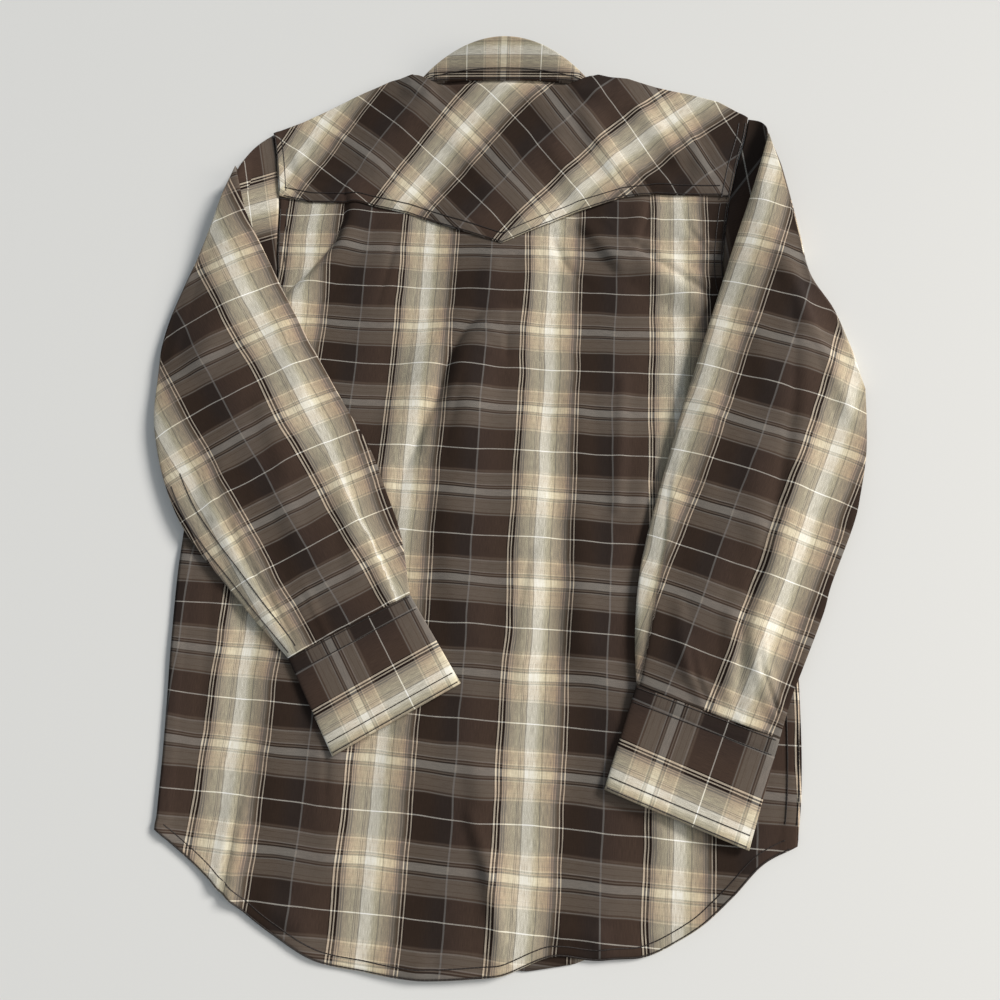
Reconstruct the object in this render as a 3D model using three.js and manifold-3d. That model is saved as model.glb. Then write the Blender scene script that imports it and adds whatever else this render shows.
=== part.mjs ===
// Western snap shirt, laid flat face down with both sleeves folded over its back.
// Sizes are millimetres. +Z is up from the surface that it lies on, +Y runs from the hem to the collar,
// and +X is to the right as seen from above, so the wearer's left side is on -X.

import * as THREE from 'three';
import Module from 'manifold-3d';
import { mergeVertices } from 'three/addons/utils/BufferGeometryUtils.js';

const wasm = await Module();
wasm.setup();

// Cloth: the wall of one ply, the space left at a seam, and one ply with its space.
// Whole panels that lie on each other are a little further apart.
const CLOTH = 1.2;
const SEAM = 0.3;
const PLY = CLOTH + SEAM;
const PANEL_STEP = CLOTH + 0.6;
const CUFF_CLOTH = 1.6;
const EDGE_SPACE = 0.5;
const ARMHOLE_SPACE = 0.8;
const LEAF_SPACE = 0.5;

// Neck: the loop that the collar stands on, tilted so that its front lies 84 mm below its back
const NECK = {
  x: -16,
  halfWidth: 76,
  backY: 352,
  sideY: 345,
  frontY: 268,
  flatten: 4.5,
  holeHalfWidth: 80.5,
  swellHalfWidth: 100,
  sideClear: 7,
};

// Collar: the roll line where the leaf turns down over the stand
const ROLL = { backY: 384.5, sideY: 355, frontY: 300, backRise: 14.4 };
const LEAF_BACK_Y = 351;
const LEAF_DROP = { startAngle: 60, endAngle: 80 };
const LEAF_CLEAR_LEVEL = 0.02;

// Placket and snaps
const PLACKET_HALF = 19;
const PLACKET_REACH = { bottom: 100, top: 30 };
const CENTRE_LINE = { x: -16, topY: 350, straightY: -300 };
const SNAP_RADIUS = 5.5;
const SNAP_SIDES = 12;
const SNAP_COUNT = 7;
const SNAP_TOP_Y = 240;
const SNAP_STEP = 88;

// The left and right edges of the body, from the hem up both sides and round the armholes
const BODY_EDGES = [
  { y: -300, left: -239, right: 239 },
  { y: -245, left: -244, right: 245 },
  { y: -140, left: -254, right: 244 },
  { y: -78, left: -258, right: 246 },
  { y: 20, left: -260, right: 249 },
  { y: 70, left: -258, right: 251 },
  { y: 86, left: -240, right: 232 },
  { y: 108, left: -221, right: 208 },
  { y: 146, left: -207, right: 188 },
  { y: 179, left: -210, right: 184 },
  { y: 201, left: -212, right: 185 },
  { y: 231, left: -215, right: 188 },
  { y: 272, left: -223, right: 195 },
  { y: 301, left: -230, right: 202 },
  { y: 321, left: -236, right: 205 },
];
const UNDERARM_Y = 70;
const ARMHOLE_LEVELS = [UNDERARM_Y, 110, 180];
const SHOULDER_TIP_Y = { left: 301, right: 321 };
const SIDE_HEM_Y = { left: -311, right: -284 };
const SIDE_STEPS = [15, 3, 5, 4];

// How far from the hem and from the neck the rows of a panel begin to bend towards them
const BACK_REACH = { bottom: 230, top: 90 };
const YOKE_REACH = { bottom: 70, top: 70 };
const FRONT_REACH = { bottom: 230, top: 110 };

// The shirt-tail hem, lifted a little where its right half waves
const HEM = [
  { x: -239, y: -311 },
  { x: -204, y: -333 },
  { x: -172, y: -355 },
  { x: -139, y: -374 },
  { x: -104, y: -389 },
  { x: -64, y: -393 },
  { x: -26, y: -394 },
  { x: 18, y: -388 },
  { x: 49, y: -382 },
  { x: 83, y: -374 },
  { x: 108, y: -368 },
  { x: 133, y: -364 },
  { x: 154, y: -353 },
  { x: 175, y: -338 },
  { x: 194, y: -319 },
  { x: 214, y: -299 },
  { x: 239, y: -284 },
];
const FRONT_HEM_INSET = 3;

// The lower edge of the yoke, which comes to a point at centre back
const YOKE_EDGE = [
  { x: -216, y: 235 },
  { x: -185, y: 229 },
  { x: -140, y: 228 },
  { x: -93, y: 218 },
  { x: -52, y: 204 },
  { x: -7, y: 190 },
  { x: 28, y: 208 },
  { x: 58, y: 223 },
  { x: 97, y: 238 },
  { x: 126, y: 242 },
  { x: 188, y: 242 },
];
const YOKE_OVERLAP = 12;
const YOKE_SIDE_X = { left: -216, right: 188 };
const YOKE_ROWS = 7;
const YOKE_SETTLE = 18;

// The shoulder edges, either side of the neck
const SHOULDERS = [
  { x: -231, y: 301 },
  { x: -202, y: 314 },
  { x: -156, y: 339 },
  { x: -122, y: 354 },
  { x: -101, y: 358.5 },
  { x: -97, y: 356 },
  { x: -96.5, y: 344 },
  { x: 64.5, y: 344 },
  { x: 65, y: 356 },
  { x: 69, y: 359 },
  { x: 97, y: 358 },
  { x: 123, y: 351 },
  { x: 153, y: 345 },
  { x: 179, y: 337 },
  { x: 205, y: 321 },
];

// Columns of the yoke and fronts between the armholes and the neck hole, with the steps between them
const SHOULDER_STOPS = { left: [-161, -122, -101, -97], right: [65, 69, 97, 131] };
const YOKE_SHOULDER_STEPS = { left: [3, 2, 1, 1], right: [1, 1, 2, 3] };
const FRONT_SHOULDER_STEPS = { left: [4, 1, 1], right: [1, 1, 4] };
const FRONT_STEPS = [8, 3, 5, 4];
const PLACKET_LEVELS = [10, 60, 150];

// Heights of the layers round the neck and over the placket
const LEAF_ZONE = { halfWidth: 96, fadeX: 60, y: 198, fadeY: 60 };
const NECK_LIFT = 4.2;
const NECK_LIFT_HALF_WIDTH = 80;
const NECK_LIFT_FADE = 100;
const NECK_RISE_FROM_Y = 215;
const NECK_BEND = 0.03;
const UNDERLAP_STEP = { start: 0.5, end: 2.5, bend: 3 };
const OVERLAP_ZONE = { halfWidth: 25, fade: 35 };

// Knife pleats under the yoke: the cloth climbs to the fold, then drops off it
const PLEATS = [
  { x: -152, climb: 26, drop: 1.5, rise: 1.8, topY: 232, fade: 62 },
  { x: 119, climb: -26, drop: -1.5, rise: 1.8, topY: 245, fade: 62 },
];
const PLEAT_EDGE = 2;

// The largest soft folds of the back, each a ridge between two places
const BACK_FOLDS = [
  { x1: -14, y1: 135, x2: -62, y2: 50, half: 16, rise: 1.6 },
  { x1: -62, y1: 50, x2: -92, y2: -8, half: 18, rise: 1.3 },
  { x1: -158, y1: 180, x2: -186, y2: 138, half: 9, rise: 1.2 },
  { x1: 72, y1: 195, x2: 106, y2: 158, half: 11, rise: 1.1 },
  { x1: 126, y1: 182, x2: 168, y2: 148, half: 9, rise: 1.1 },
  { x1: 62, y1: -330, x2: 128, y2: -318, half: 16, rise: 1.4 },
  { x1: 10, y1: -180, x2: 40, y2: -270, half: 22, rise: 0.9 },
];

// Sleeves: each row is one section across the flattened sleeve, from its overarm edge to its
// underarm edge. The first row lies on the fold, where the sleeve turns over onto the back, and the
// last is at the cuff. bow pushes the middle of a section out from the body.
const SLEEVES = {
  left: {
    outward: { x: -0.98, y: 0.2 },
    sections: [
      { overX: -260, overY: 264, underX: -298, underY: 52, bow: 5 },
      { overX: -243, overY: 217, underX: -296, underY: 22, bow: 3 },
      { overX: -220, overY: 177, underX: -290, underY: -4, bow: 1 },
      { overX: -190, overY: 127, underX: -277, underY: -38, bow: 0 },
      { overX: -157, overY: 76, underX: -257, underY: -73, bow: 0 },
      { overX: -128, overY: 33, underX: -234, underY: -99, bow: 0 },
      { overX: -103, overY: -3, underX: -210, underY: -122, bow: 0 },
      { overX: -86, overY: -38, underX: -188, underY: -143, bow: 0 },
      { overX: -70, overY: -74, underX: -168, underY: -161, bow: 0 },
    ],
    cuff: {
      overX: -58, overY: -121, underX: -150, underY: -177,
      endOverX: -12, endOverY: -186, endUnderX: -106, endUnderY: -247,
    },
    folds: [
      { x1: -150, y1: 3, x2: -88, y2: -88, half: 12, rise: 1.5 },
      { x1: -236, y1: 150, x2: -262, y2: 40, half: 20, rise: 1.2 },
      { x1: -196, y1: 60, x2: -232, y2: -40, half: 16, rise: 1.0 },
    ],
  },
  right: {
    outward: { x: 0.952, y: 0.307 },
    sections: [
      { overX: 222, overY: 303, underX: 296, underY: 66, bow: -7 },
      { overX: 213, overY: 266, underX: 297, underY: 38, bow: -5 },
      { overX: 204, overY: 233, underX: 296, underY: 10, bow: -2 },
      { overX: 194, overY: 199, underX: 292, underY: -20, bow: 0 },
      { overX: 182, overY: 155, underX: 287, underY: -45, bow: 0 },
      { overX: 158, overY: 67, underX: 268, underY: -92, bow: 0 },
      { overX: 146, overY: 22, underX: 259, underY: -116, bow: 0 },
      { overX: 126, overY: -63, underX: 243, underY: -158, bow: 0 },
      { overX: 120, overY: -104, underX: 236, underY: -176, bow: 0 },
      { overX: 119, overY: -143, underX: 231, underY: -192, bow: 0 },
    ],
    cuff: {
      overX: 121, overY: -178, underX: 226, underY: -209,
      endOverX: 100, endOverY: -254, endUnderX: 204, endUnderY: -287,
    },
    folds: [
      { x1: 150, y1: 10, x2: 133, y2: -150, half: 10, rise: 1.6 },
      { x1: 236, y1: 190, x2: 262, y2: 70, half: 18, rise: 1.2 },
      { x1: 205, y1: -120, x2: 214, y2: -200, half: 12, rise: 1.0 },
    ],
  },
};
const FOLD_RADIUS = 4.1;
const FLATNESS = 0.35;
const SLEEVE_LOFT = { most: 3.2, plain: 2.2, fold: 0.6, atCuff: 0.5, rows: 6, cuffRows: 4 };
const LOFT_SHAPE = 0.8;
const CUFF_LOFT = 1.6;
const CUFF_SNAPS_DOWN = [0.3, 0.7];
const CUFF_LOW_Z = 2 * FOLD_RADIUS - CLOTH - SEAM - CUFF_CLOTH;
const CUFF_ROWS = 4;

// Leaf of the collar, front half: how far out and down its free edge lies at each angle round the neck
const LEAF_EDGE = [
  { angle: 90, out: 78.5, y: 347 },
  { angle: 105, out: 81, y: 320 },
  { angle: 120, out: 88, y: 286 },
  { angle: 135, out: 82, y: 246 },
  { angle: 150, out: 62, y: 206 },
  { angle: 162, out: 37, y: 236 },
  { angle: 175, out: 9, y: 265 },
];

// Fineness of the meshes
const RING_POINTS = 18;
const ARMHOLE_SHARES = [0, 0.33, 0.67];
const FOLD_STEPS = 6;
const STEPS_PER_SECTION = 2;
const STAND_POINTS = 36;
const STAND_ROWS = 4;
const LEAF_STEPS = 35;
const LEAF_ROWS = [4, 3];

const CLOTH_COLOUR = 0x7c6856;
const YOKE_COLOUR = 0x6f5f50;
const CUFF_COLOUR = 0x8a7766;
const COLLAR_COLOUR = 0x9a9180;
const PEARL_COLOUR = 0xe4dfd4;
const CLOTH_ROUGHNESS = 0.85;
const PEARL_ROUGHNESS = 0.25;

const mix = (a, b, part) => a + (b - a) * part;
const clamp = (value) => Math.min(1, Math.max(0, value));
const soft = (value) => clamp(value) ** 2 * (3 - 2 * clamp(value));
const radians = THREE.MathUtils.degToRad;

// Reads a table at any place between its rows, with straight or curved steps from row to row
function readTable(rows, key, column, place, curved = true) {
  let i = 0;
  while (i < rows.length - 2 && place > rows[i + 1][key]) i += 1;
  const low = rows[i];
  const high = rows[i + 1];
  const part = clamp((place - low[key]) / (high[key] - low[key]));
  if (!curved) return mix(low[column], high[column], part);
  const before = rows[Math.max(0, i - 1)];
  const after = rows[Math.min(rows.length - 1, i + 2)];
  const step = high[key] - low[key];
  const slopeLow = step * (high[column] - before[column]) / (high[key] - before[key]);
  const slopeHigh = step * (after[column] - low[column]) / (after[key] - low[key]);
  const square = part * part;
  const cube = square * part;
  return (2 * cube - 3 * square + 1) * low[column] + (cube - 2 * square + part) * slopeLow
    + (3 * square - 2 * cube) * high[column] + (cube - square) * slopeHigh;
}

const leftEdge = (y) => readTable(BODY_EDGES, 'y', 'left', y);
const rightEdge = (y) => readTable(BODY_EDGES, 'y', 'right', y);
const hemLine = (x) => readTable(HEM, 'x', 'y', x);
const yokeLine = (x) => readTable(YOKE_EDGE, 'x', 'y', x, false);
const shoulderLine = (x) => readTable(SHOULDERS, 'x', 'y', x, false);
function centreLine(y) {
  const up = (y - CENTRE_LINE.straightY) / (CENTRE_LINE.topY - CENTRE_LINE.straightY);
  return CENTRE_LINE.x * up;
}

// How far round the neck loop a place across it is, as the cosine: 1 at centre back, 0 at the sides
function neckCosine(x, halfWidth) {
  return Math.sqrt(Math.max(0, 1 - ((x - NECK.x) / halfWidth) ** 2));
}

// How much a place across the neck shares in the swell that the collar gives the yoke
function neckSwell(x) {
  const part = Math.min(1, Math.abs(x - NECK.x) / NECK.swellHalfWidth);
  return Math.cos(Math.PI / 2 * part) ** 2;
}

// The neck edge of the back half and of the front half of the body
function backNeckLine(x) {
  if (Math.abs(x - NECK.x) >= NECK.holeHalfWidth) return shoulderLine(x);
  const up = Math.sqrt(neckCosine(x, NECK.halfWidth));
  return mix(NECK.sideY - NECK.sideClear, NECK.backY, up) - 4 * SEAM;
}
function frontNeckLine(x) {
  if (Math.abs(x - NECK.x) >= NECK.holeHalfWidth) return shoulderLine(x);
  return mix(NECK.sideY, NECK.frontY, neckCosine(x, NECK.holeHalfWidth)) - 2 * SEAM;
}

// Height of one soft ridge, full along its middle and nothing at its ends and sides
function ridgeHeight(folds, x, y) {
  let height = 0;
  for (const fold of folds) {
    const dx = fold.x2 - fold.x1;
    const dy = fold.y2 - fold.y1;
    const length = Math.hypot(dx, dy);
    const along = ((x - fold.x1) * dx + (y - fold.y1) * dy) / length;
    const aside = Math.abs((x - fold.x1) * dy - (y - fold.y1) * dx) / length;
    const ends = soft(along / fold.half + 0.5) * soft((length - along) / fold.half + 0.5);
    height += fold.rise * ends * soft(1 - aside / fold.half);
  }
  return height;
}

function pleatHeight(x, y) {
  let height = 0;
  for (const pleat of PLEATS) {
    const fromFold = (pleat.x - x) / pleat.climb;
    const pastFold = (x - pleat.x) / pleat.drop;
    const shape = fromFold >= 0 ? soft(1 - fromFold) : clamp(1 - pastFold);
    height += pleat.rise * shape * soft(1 - (pleat.topY - y) / pleat.fade);
  }
  return height;
}

// Undersides of the layers, from the surface upwards.
// The fronts lie on the surface, and climb over the collar leaf and up to the neck.
function frontHeight(x, y) {
  const fromNeck = Math.abs(x - NECK.x);
  const overLeaf = soft((LEAF_ZONE.halfWidth + LEAF_ZONE.fadeX - fromNeck) / LEAF_ZONE.fadeX)
    * soft((y - LEAF_ZONE.y + LEAF_ZONE.fadeY) / LEAF_ZONE.fadeY);
  const upNeck = (y - NECK.frontY) / (NECK.sideY - NECK.frontY);
  const toNeck = Math.min(1, (upNeck + Math.sqrt(upNeck ** 2 + NECK_BEND)) / 2)
    * soft((NECK_LIFT_HALF_WIDTH + NECK_LIFT_FADE - fromNeck) / NECK_LIFT_FADE);
  return (CLOTH + LEAF_SPACE) * overLeaf + NECK_LIFT * toNeck;
}

// The right front runs on under the placket, so there it is one ply higher
function underlapHeight(x, y) {
  const pastPlacket = x - centreLine(y) - PLACKET_HALF;
  const step = (UNDERLAP_STEP.end - pastPlacket) / (UNDERLAP_STEP.end - UNDERLAP_STEP.start);
  return frontHeight(x, y) + PLY * clamp(step);
}

function backHeight(x, y) {
  const rise = soft((y - NECK_RISE_FROM_Y) / (NECK.backY - NECK_RISE_FROM_Y));
  const overlap = soft((OVERLAP_ZONE.halfWidth + OVERLAP_ZONE.fade - Math.abs(x - centreLine(y)))
    / OVERLAP_ZONE.fade);
  return frontHeight(x, y) + PANEL_STEP + PLY * overlap * (1 - rise)
    + NECK.flatten * neckSwell(x) * rise;
}

const backRelief = (x, y) => backHeight(x, y) + ridgeHeight(BACK_FOLDS, x, y) + pleatHeight(x, y);

// The yoke lies on the top of the back, swells over its pleats, and comes down past its hidden edge
function yokeHeight(x, y) {
  const pastBack = soft((y - yokeLine(x) - YOKE_OVERLAP - 2 * CLOTH) / YOKE_SETTLE);
  let swell = ridgeHeight(BACK_FOLDS, x, y);
  for (const pleat of PLEATS) swell += pleat.rise * soft(1 - Math.abs((x - pleat.x) / pleat.climb));
  return backHeight(x, y) + (PANEL_STEP + swell) * (1 - pastBack);
}

// Makes a geometry from corner points and quads, and turns it the right way out
function solidFromQuads(points, quads) {
  const index = quads.flatMap(([a, b, c, d]) => [a, b, c, a, c, d]);
  let volume = 0;
  for (let i = 0; i < index.length; i += 3) {
    const [a, b, c] = [points[index[i]], points[index[i + 1]], points[index[i + 2]]];
    volume += a[0] * (b[1] * c[2] - b[2] * c[1]) + a[1] * (b[2] * c[0] - b[0] * c[2])
      + a[2] * (b[0] * c[1] - b[1] * c[0]);
  }
  if (volume < 0) index.reverse();
  const geometry = new THREE.BufferGeometry();
  geometry.setAttribute('position', new THREE.Float32BufferAttribute(points.flat(), 3));
  geometry.setIndex(index);
  geometry.computeVertexNormals();
  return geometry;
}

// A closed wall over a grid of columns and rows. face gives the point of a column and row on the
// wall's outer face (side 1) or inner face (side 0). A ring joins its last column to its first.
function wall(columns, rows, face, ring = false) {
  const points = [];
  const quads = [];
  const at = (i, j, side) => (side * rows + j) * columns + (i % columns);
  for (const side of [0, 1]) {
    for (let j = 0; j < rows; j += 1) {
      for (let i = 0; i < columns; i += 1) points.push(face(i, j, side));
    }
  }
  const lastColumn = ring ? columns : columns - 1;
  const top = rows - 1;
  for (let i = 0; i < lastColumn; i += 1) {
    for (let j = 0; j < top; j += 1) {
      quads.push([at(i, j, 1), at(i + 1, j, 1), at(i + 1, j + 1, 1), at(i, j + 1, 1)]);
      quads.push([at(i, j, 0), at(i, j + 1, 0), at(i + 1, j + 1, 0), at(i + 1, j, 0)]);
    }
    quads.push([at(i, 0, 0), at(i + 1, 0, 0), at(i + 1, 0, 1), at(i, 0, 1)]);
    quads.push([at(i, top, 1), at(i + 1, top, 1), at(i + 1, top, 0), at(i, top, 0)]);
  }
  for (let j = 0; j < top && !ring; j += 1) {
    quads.push([at(0, j, 0), at(0, j, 1), at(0, j + 1, 1), at(0, j + 1, 0)]);
    const end = lastColumn;
    quads.push([at(end, j, 0), at(end, j + 1, 0), at(end, j + 1, 1), at(end, j, 1)]);
  }
  return solidFromQuads(points, quads);
}

// Places from the first stop to the last, with the given number of even steps between neighbours
function between(stops, steps) {
  const places = [stops[0]];
  steps.forEach((count, i) => {
    for (let k = 1; k <= count; k += 1) places.push(mix(stops[i], stops[i + 1], k / count));
  });
  return places;
}

// A flat panel. columnX gives the place of a column at a row, and sides holds each row's height at the
// panel's left and right edges. Near its ends its rows bend towards the bottom line and the top line.
function panel({ shares, sides, columnX, bottom, top, height, reach }) {
  const lastRow = sides.left.length - 1;
  const sideHeight = (j, share) => mix(sides.left[j], sides.right[j], share);
  return wall(shares.length, lastRow + 1, (i, j, side) => {
    const share = shares[i];
    const x = columnX(i, j, share);
    const level = sideHeight(j, share);
    const lowest = sideHeight(0, share);
    const highest = sideHeight(lastRow, share);
    const toBottom = soft(1 - (level - lowest) / reach.bottom);
    const toTop = soft(1 - (highest - level) / reach.top);
    const y = level + (bottom(x) - lowest) * toBottom + (top(x) - highest) * toTop;
    return [x, y, height(x, y) + side * CLOTH];
  });
}

function sharesOf(places) {
  const whole = places[places.length - 1] - places[0];
  return places.map((place) => (place - places[0]) / whole);
}

function makeBack() {
  const topLeft = yokeLine(YOKE_SIDE_X.left) + YOKE_OVERLAP;
  const topRight = yokeLine(YOKE_SIDE_X.right) + YOKE_OVERLAP;
  const sides = {
    left: between([SIDE_HEM_Y.left, ...ARMHOLE_LEVELS, topLeft], SIDE_STEPS),
    right: between([SIDE_HEM_Y.right, ...ARMHOLE_LEVELS, topRight], SIDE_STEPS),
  };
  const [left, right] = PLEATS;
  const folds = [left.x - PLEAT_EDGE, left.x, right.x, right.x + PLEAT_EDGE];
  const stops = [leftEdge(topLeft), ...folds, rightEdge(topRight)];
  return panel({
    shares: sharesOf(between(stops, [4, 1, 12, 1, 4])),
    sides,
    columnX: (i, j, share) => mix(leftEdge(sides.left[j]), rightEdge(sides.right[j]), share),
    bottom: hemLine,
    top: (x) => yokeLine(x) + YOKE_OVERLAP,
    height: backRelief,
    reach: BACK_REACH,
  });
}

// Places across the neck hole, even in angle, between two angles from centre
function neckPlaces(from, to, steps) {
  const angles = between([from, to], [steps]);
  return angles.map((angle) => NECK.x + NECK.holeHalfWidth * Math.sin(radians(angle)));
}

function makeYoke() {
  const sides = {
    left: between([yokeLine(YOKE_SIDE_X.left), SHOULDER_TIP_Y.left], [YOKE_ROWS]),
    right: between([yokeLine(YOKE_SIDE_X.right), SHOULDER_TIP_Y.right], [YOKE_ROWS]),
  };
  const leftStops = [leftEdge(SHOULDER_TIP_Y.left), ...SHOULDER_STOPS.left];
  const rightStops = [...SHOULDER_STOPS.right, rightEdge(SHOULDER_TIP_Y.right)];
  const outerLeft = between(leftStops, YOKE_SHOULDER_STEPS.left);
  const outerRight = between(rightStops, YOKE_SHOULDER_STEPS.right);
  return panel({
    shares: sharesOf([...outerLeft, ...neckPlaces(-90, 90, 12), ...outerRight]),
    sides,
    columnX: (i, j, share) => mix(leftEdge(sides.left[j]), rightEdge(sides.right[j]), share),
    bottom: yokeLine,
    top: backNeckLine,
    height: yokeHeight,
    reach: YOKE_REACH,
  });
}

// The rows of a front at its side seam and armhole, and at its edge by the placket
function placketRows(x) {
  return between([hemLine(x) + FRONT_HEM_INSET, ...PLACKET_LEVELS, frontNeckLine(x)], FRONT_STEPS);
}
function armholeRows(side) {
  const lowest = SIDE_HEM_Y[side] + FRONT_HEM_INSET;
  return between([lowest, ...ARMHOLE_LEVELS, SHOULDER_TIP_Y[side]], FRONT_STEPS);
}

function makeLeftFront() {
  const edge = -PLACKET_HALF - SEAM;
  const sides = {
    left: armholeRows('left'),
    right: placketRows(NECK.x + edge),
  };
  const armStops = [leftEdge(SHOULDER_TIP_Y.left), ...SHOULDER_STOPS.left.slice(1)];
  const armToNeck = between(armStops, FRONT_SHOULDER_STEPS.left);
  const shares = sharesOf([...armToNeck, ...neckPlaces(-90, -13, 7)]);
  return panel({
    shares,
    sides,
    columnX: (i, j, share) => mix(leftEdge(sides.left[j]), centreLine(sides.right[j]) + edge, share),
    bottom: (x) => hemLine(x) + FRONT_HEM_INSET,
    top: frontNeckLine,
    height: frontHeight,
    reach: FRONT_REACH,
  });
}

// The right front runs on under the placket, one ply higher, to where the left front begins
function makeRightFront() {
  const sides = {
    left: placketRows(NECK.x - PLACKET_HALF),
    right: armholeRows('right'),
  };
  const pastPlacket = PLACKET_HALF + UNDERLAP_STEP.bend;
  const overPlacket = [-PLACKET_HALF, 0, PLACKET_HALF + UNDERLAP_STEP.start, pastPlacket];
  const neckSide = neckPlaces(18, 90, 7);
  const armStops = [...SHOULDER_STOPS.right.slice(0, 3), rightEdge(SHOULDER_TIP_Y.right)];
  const neckToArm = between(armStops, FRONT_SHOULDER_STEPS.right);
  const free = sharesOf([NECK.x + pastPlacket, ...neckSide, ...neckToArm]).slice(1);
  const width = (j) => rightEdge(sides.right[j]) - centreLine(sides.left[j]) - pastPlacket;
  const topWidth = width(sides.left.length - 1);
  const whole = topWidth + pastPlacket + PLACKET_HALF;
  const shares = [
    ...overPlacket.map((place) => (place + PLACKET_HALF) / whole),
    ...free.map((share) => (share * topWidth + pastPlacket + PLACKET_HALF) / whole),
  ];
  return panel({
    shares,
    sides,
    columnX: (i, j) => {
      const start = centreLine(sides.left[j]);
      return i < overPlacket.length
        ? start + overPlacket[i]
        : start + pastPlacket + width(j) * free[i - overPlacket.length];
    },
    bottom: (x) => hemLine(x) + FRONT_HEM_INSET,
    top: frontNeckLine,
    height: underlapHeight,
    reach: FRONT_REACH,
  });
}

// A closed geometry as a solid that can be cut, and the way back
function toSolid(geometry) {
  const bare = geometry.clone();
  bare.deleteAttribute('normal');
  bare.deleteAttribute('uv');
  const merged = mergeVertices(bare);
  return new wasm.Manifold(new wasm.Mesh({
    numProp: 3,
    vertProperties: new Float32Array(merged.attributes.position.array),
    triVerts: new Uint32Array(merged.index.array),
  }));
}
function toGeometry(solid) {
  const mesh = solid.getMesh();
  const geometry = new THREE.BufferGeometry();
  geometry.setAttribute('position', new THREE.BufferAttribute(mesh.vertProperties, 3));
  geometry.setIndex(new THREE.BufferAttribute(mesh.triVerts, 1));
  geometry.computeVertexNormals();
  return geometry;
}

function disc(radius, lowZ, highZ, x, y) {
  const geometry = new THREE.CylinderGeometry(radius, radius, highZ - lowZ, SNAP_SIDES);
  geometry.rotateX(Math.PI / 2);
  geometry.translate(x, y, (lowZ + highZ) / 2);
  return geometry;
}

// Cuts a hole for each snap, with a seam's space all round
function cutSnapHoles(geometry, snaps, lowZ, highZ) {
  let solid = toSolid(geometry);
  for (const snap of snaps) {
    solid = solid.subtract(toSolid(disc(SNAP_RADIUS + SEAM, lowZ, highZ, snap.x, snap.y)));
  }
  return toGeometry(solid);
}

function frontSnaps() {
  return Array.from({ length: SNAP_COUNT }, (_, k) => {
    const y = SNAP_TOP_Y - k * SNAP_STEP;
    return { x: centreLine(y), y };
  });
}

// The band down the left front, which the snaps close onto the right front
function makePlacket() {
  const rows = placketRows(NECK.x);
  const band = panel({
    shares: between([0, 1], [4]),
    sides: { left: rows, right: rows },
    columnX: (i, j, share) => centreLine(rows[j]) + mix(-PLACKET_HALF, PLACKET_HALF, share),
    bottom: (x) => hemLine(x) + FRONT_HEM_INSET,
    top: frontNeckLine,
    height: frontHeight,
    reach: PLACKET_REACH,
  });
  return cutSnapHoles(band, frontSnaps(), -CLOTH, 3 * CLOTH);
}

// One point of a flattened tube's section: across its width from the overarm edge, and up through it
function tubeSection(share, side, width, cloth) {
  const angle = 2 * Math.PI * share;
  const inset = side === 1 ? 0 : cloth;
  const half = SEAM / 2 + (side === 1 ? cloth : 0);
  const across = inset + (width / 2 - inset) * (1 - Math.cos(angle));
  const bulge = Math.sign(Math.sin(angle)) * Math.abs(Math.sin(angle)) ** FLATNESS;
  return { across, up: CLOTH + SEAM / 2 - half * bulge, firstPly: Math.max(0, Math.sin(angle)) };
}

// One section ring of a sleeve or cuff. turn 0 lies on the surface, and turn 1 is folded over onto
// the back. The ply that lies lowest before the fold lies on top after it, and the loft lifts it.
function turnedPoint(place, section, turn, loft, outward) {
  const raised = section.up - loft * section.firstPly ** LOFT_SHAPE * turn;
  const angle = Math.PI * turn;
  const out = (FOLD_RADIUS - raised) * Math.sin(angle);
  const up = FOLD_RADIUS - (FOLD_RADIUS - raised) * Math.cos(angle);
  return [place.x + outward.x * out, place.y + outward.y * out, up];
}

// A place on the armhole, just outside the body: share 0 at the shoulder tip, 1 at the underarm
function armholePlace(side, share) {
  const y = mix(SHOULDER_TIP_Y[side], UNDERARM_Y, share);
  return side === 'left'
    ? { x: leftEdge(y) - ARMHOLE_SPACE, y }
    : { x: rightEdge(y) + ARMHOLE_SPACE, y };
}

function placeOnRow(row, share, outward) {
  const bow = row.bow * Math.sin(Math.PI * share);
  return {
    x: mix(row.overX, row.underX, share) + outward.x * bow,
    y: mix(row.overY, row.underY, share) + outward.y * bow,
  };
}

// The rows of one sleeve, from the armhole to the cuff, with a step from 0 to 1 for each row's place
function sleeveRows(side) {
  const { sections, cuff } = SLEEVES[side];
  const axis = new THREE.Vector2(cuff.endOverX - cuff.overX, cuff.endOverY - cuff.overY).normalize();
  const end = {
    overX: cuff.overX - axis.x * EDGE_SPACE,
    overY: cuff.overY - axis.y * EDGE_SPACE,
    underX: cuff.underX - axis.x * EDGE_SPACE,
    underY: cuff.underY - axis.y * EDGE_SPACE,
    bow: 0,
  };
  const table = [...sections, end].map((row, step) => ({ ...row, step }));
  const rows = [];
  for (const share of ARMHOLE_SHARES) rows.push({ fromArmhole: share, row: table[0], turn: 0 });
  for (let k = 0; k <= FOLD_STEPS; k += 1) {
    rows.push({ fromArmhole: 1, row: table[0], turn: k / FOLD_STEPS });
  }
  const lastStep = table.length - 1;
  for (const step of between([0, lastStep], [lastStep * STEPS_PER_SECTION]).slice(1)) {
    const row = {};
    for (const column of ['overX', 'overY', 'underX', 'underY', 'bow']) {
      row[column] = readTable(table, 'step', column, step);
    }
    rows.push({ fromArmhole: 1, row, turn: 1 });
  }
  return rows;
}

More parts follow.
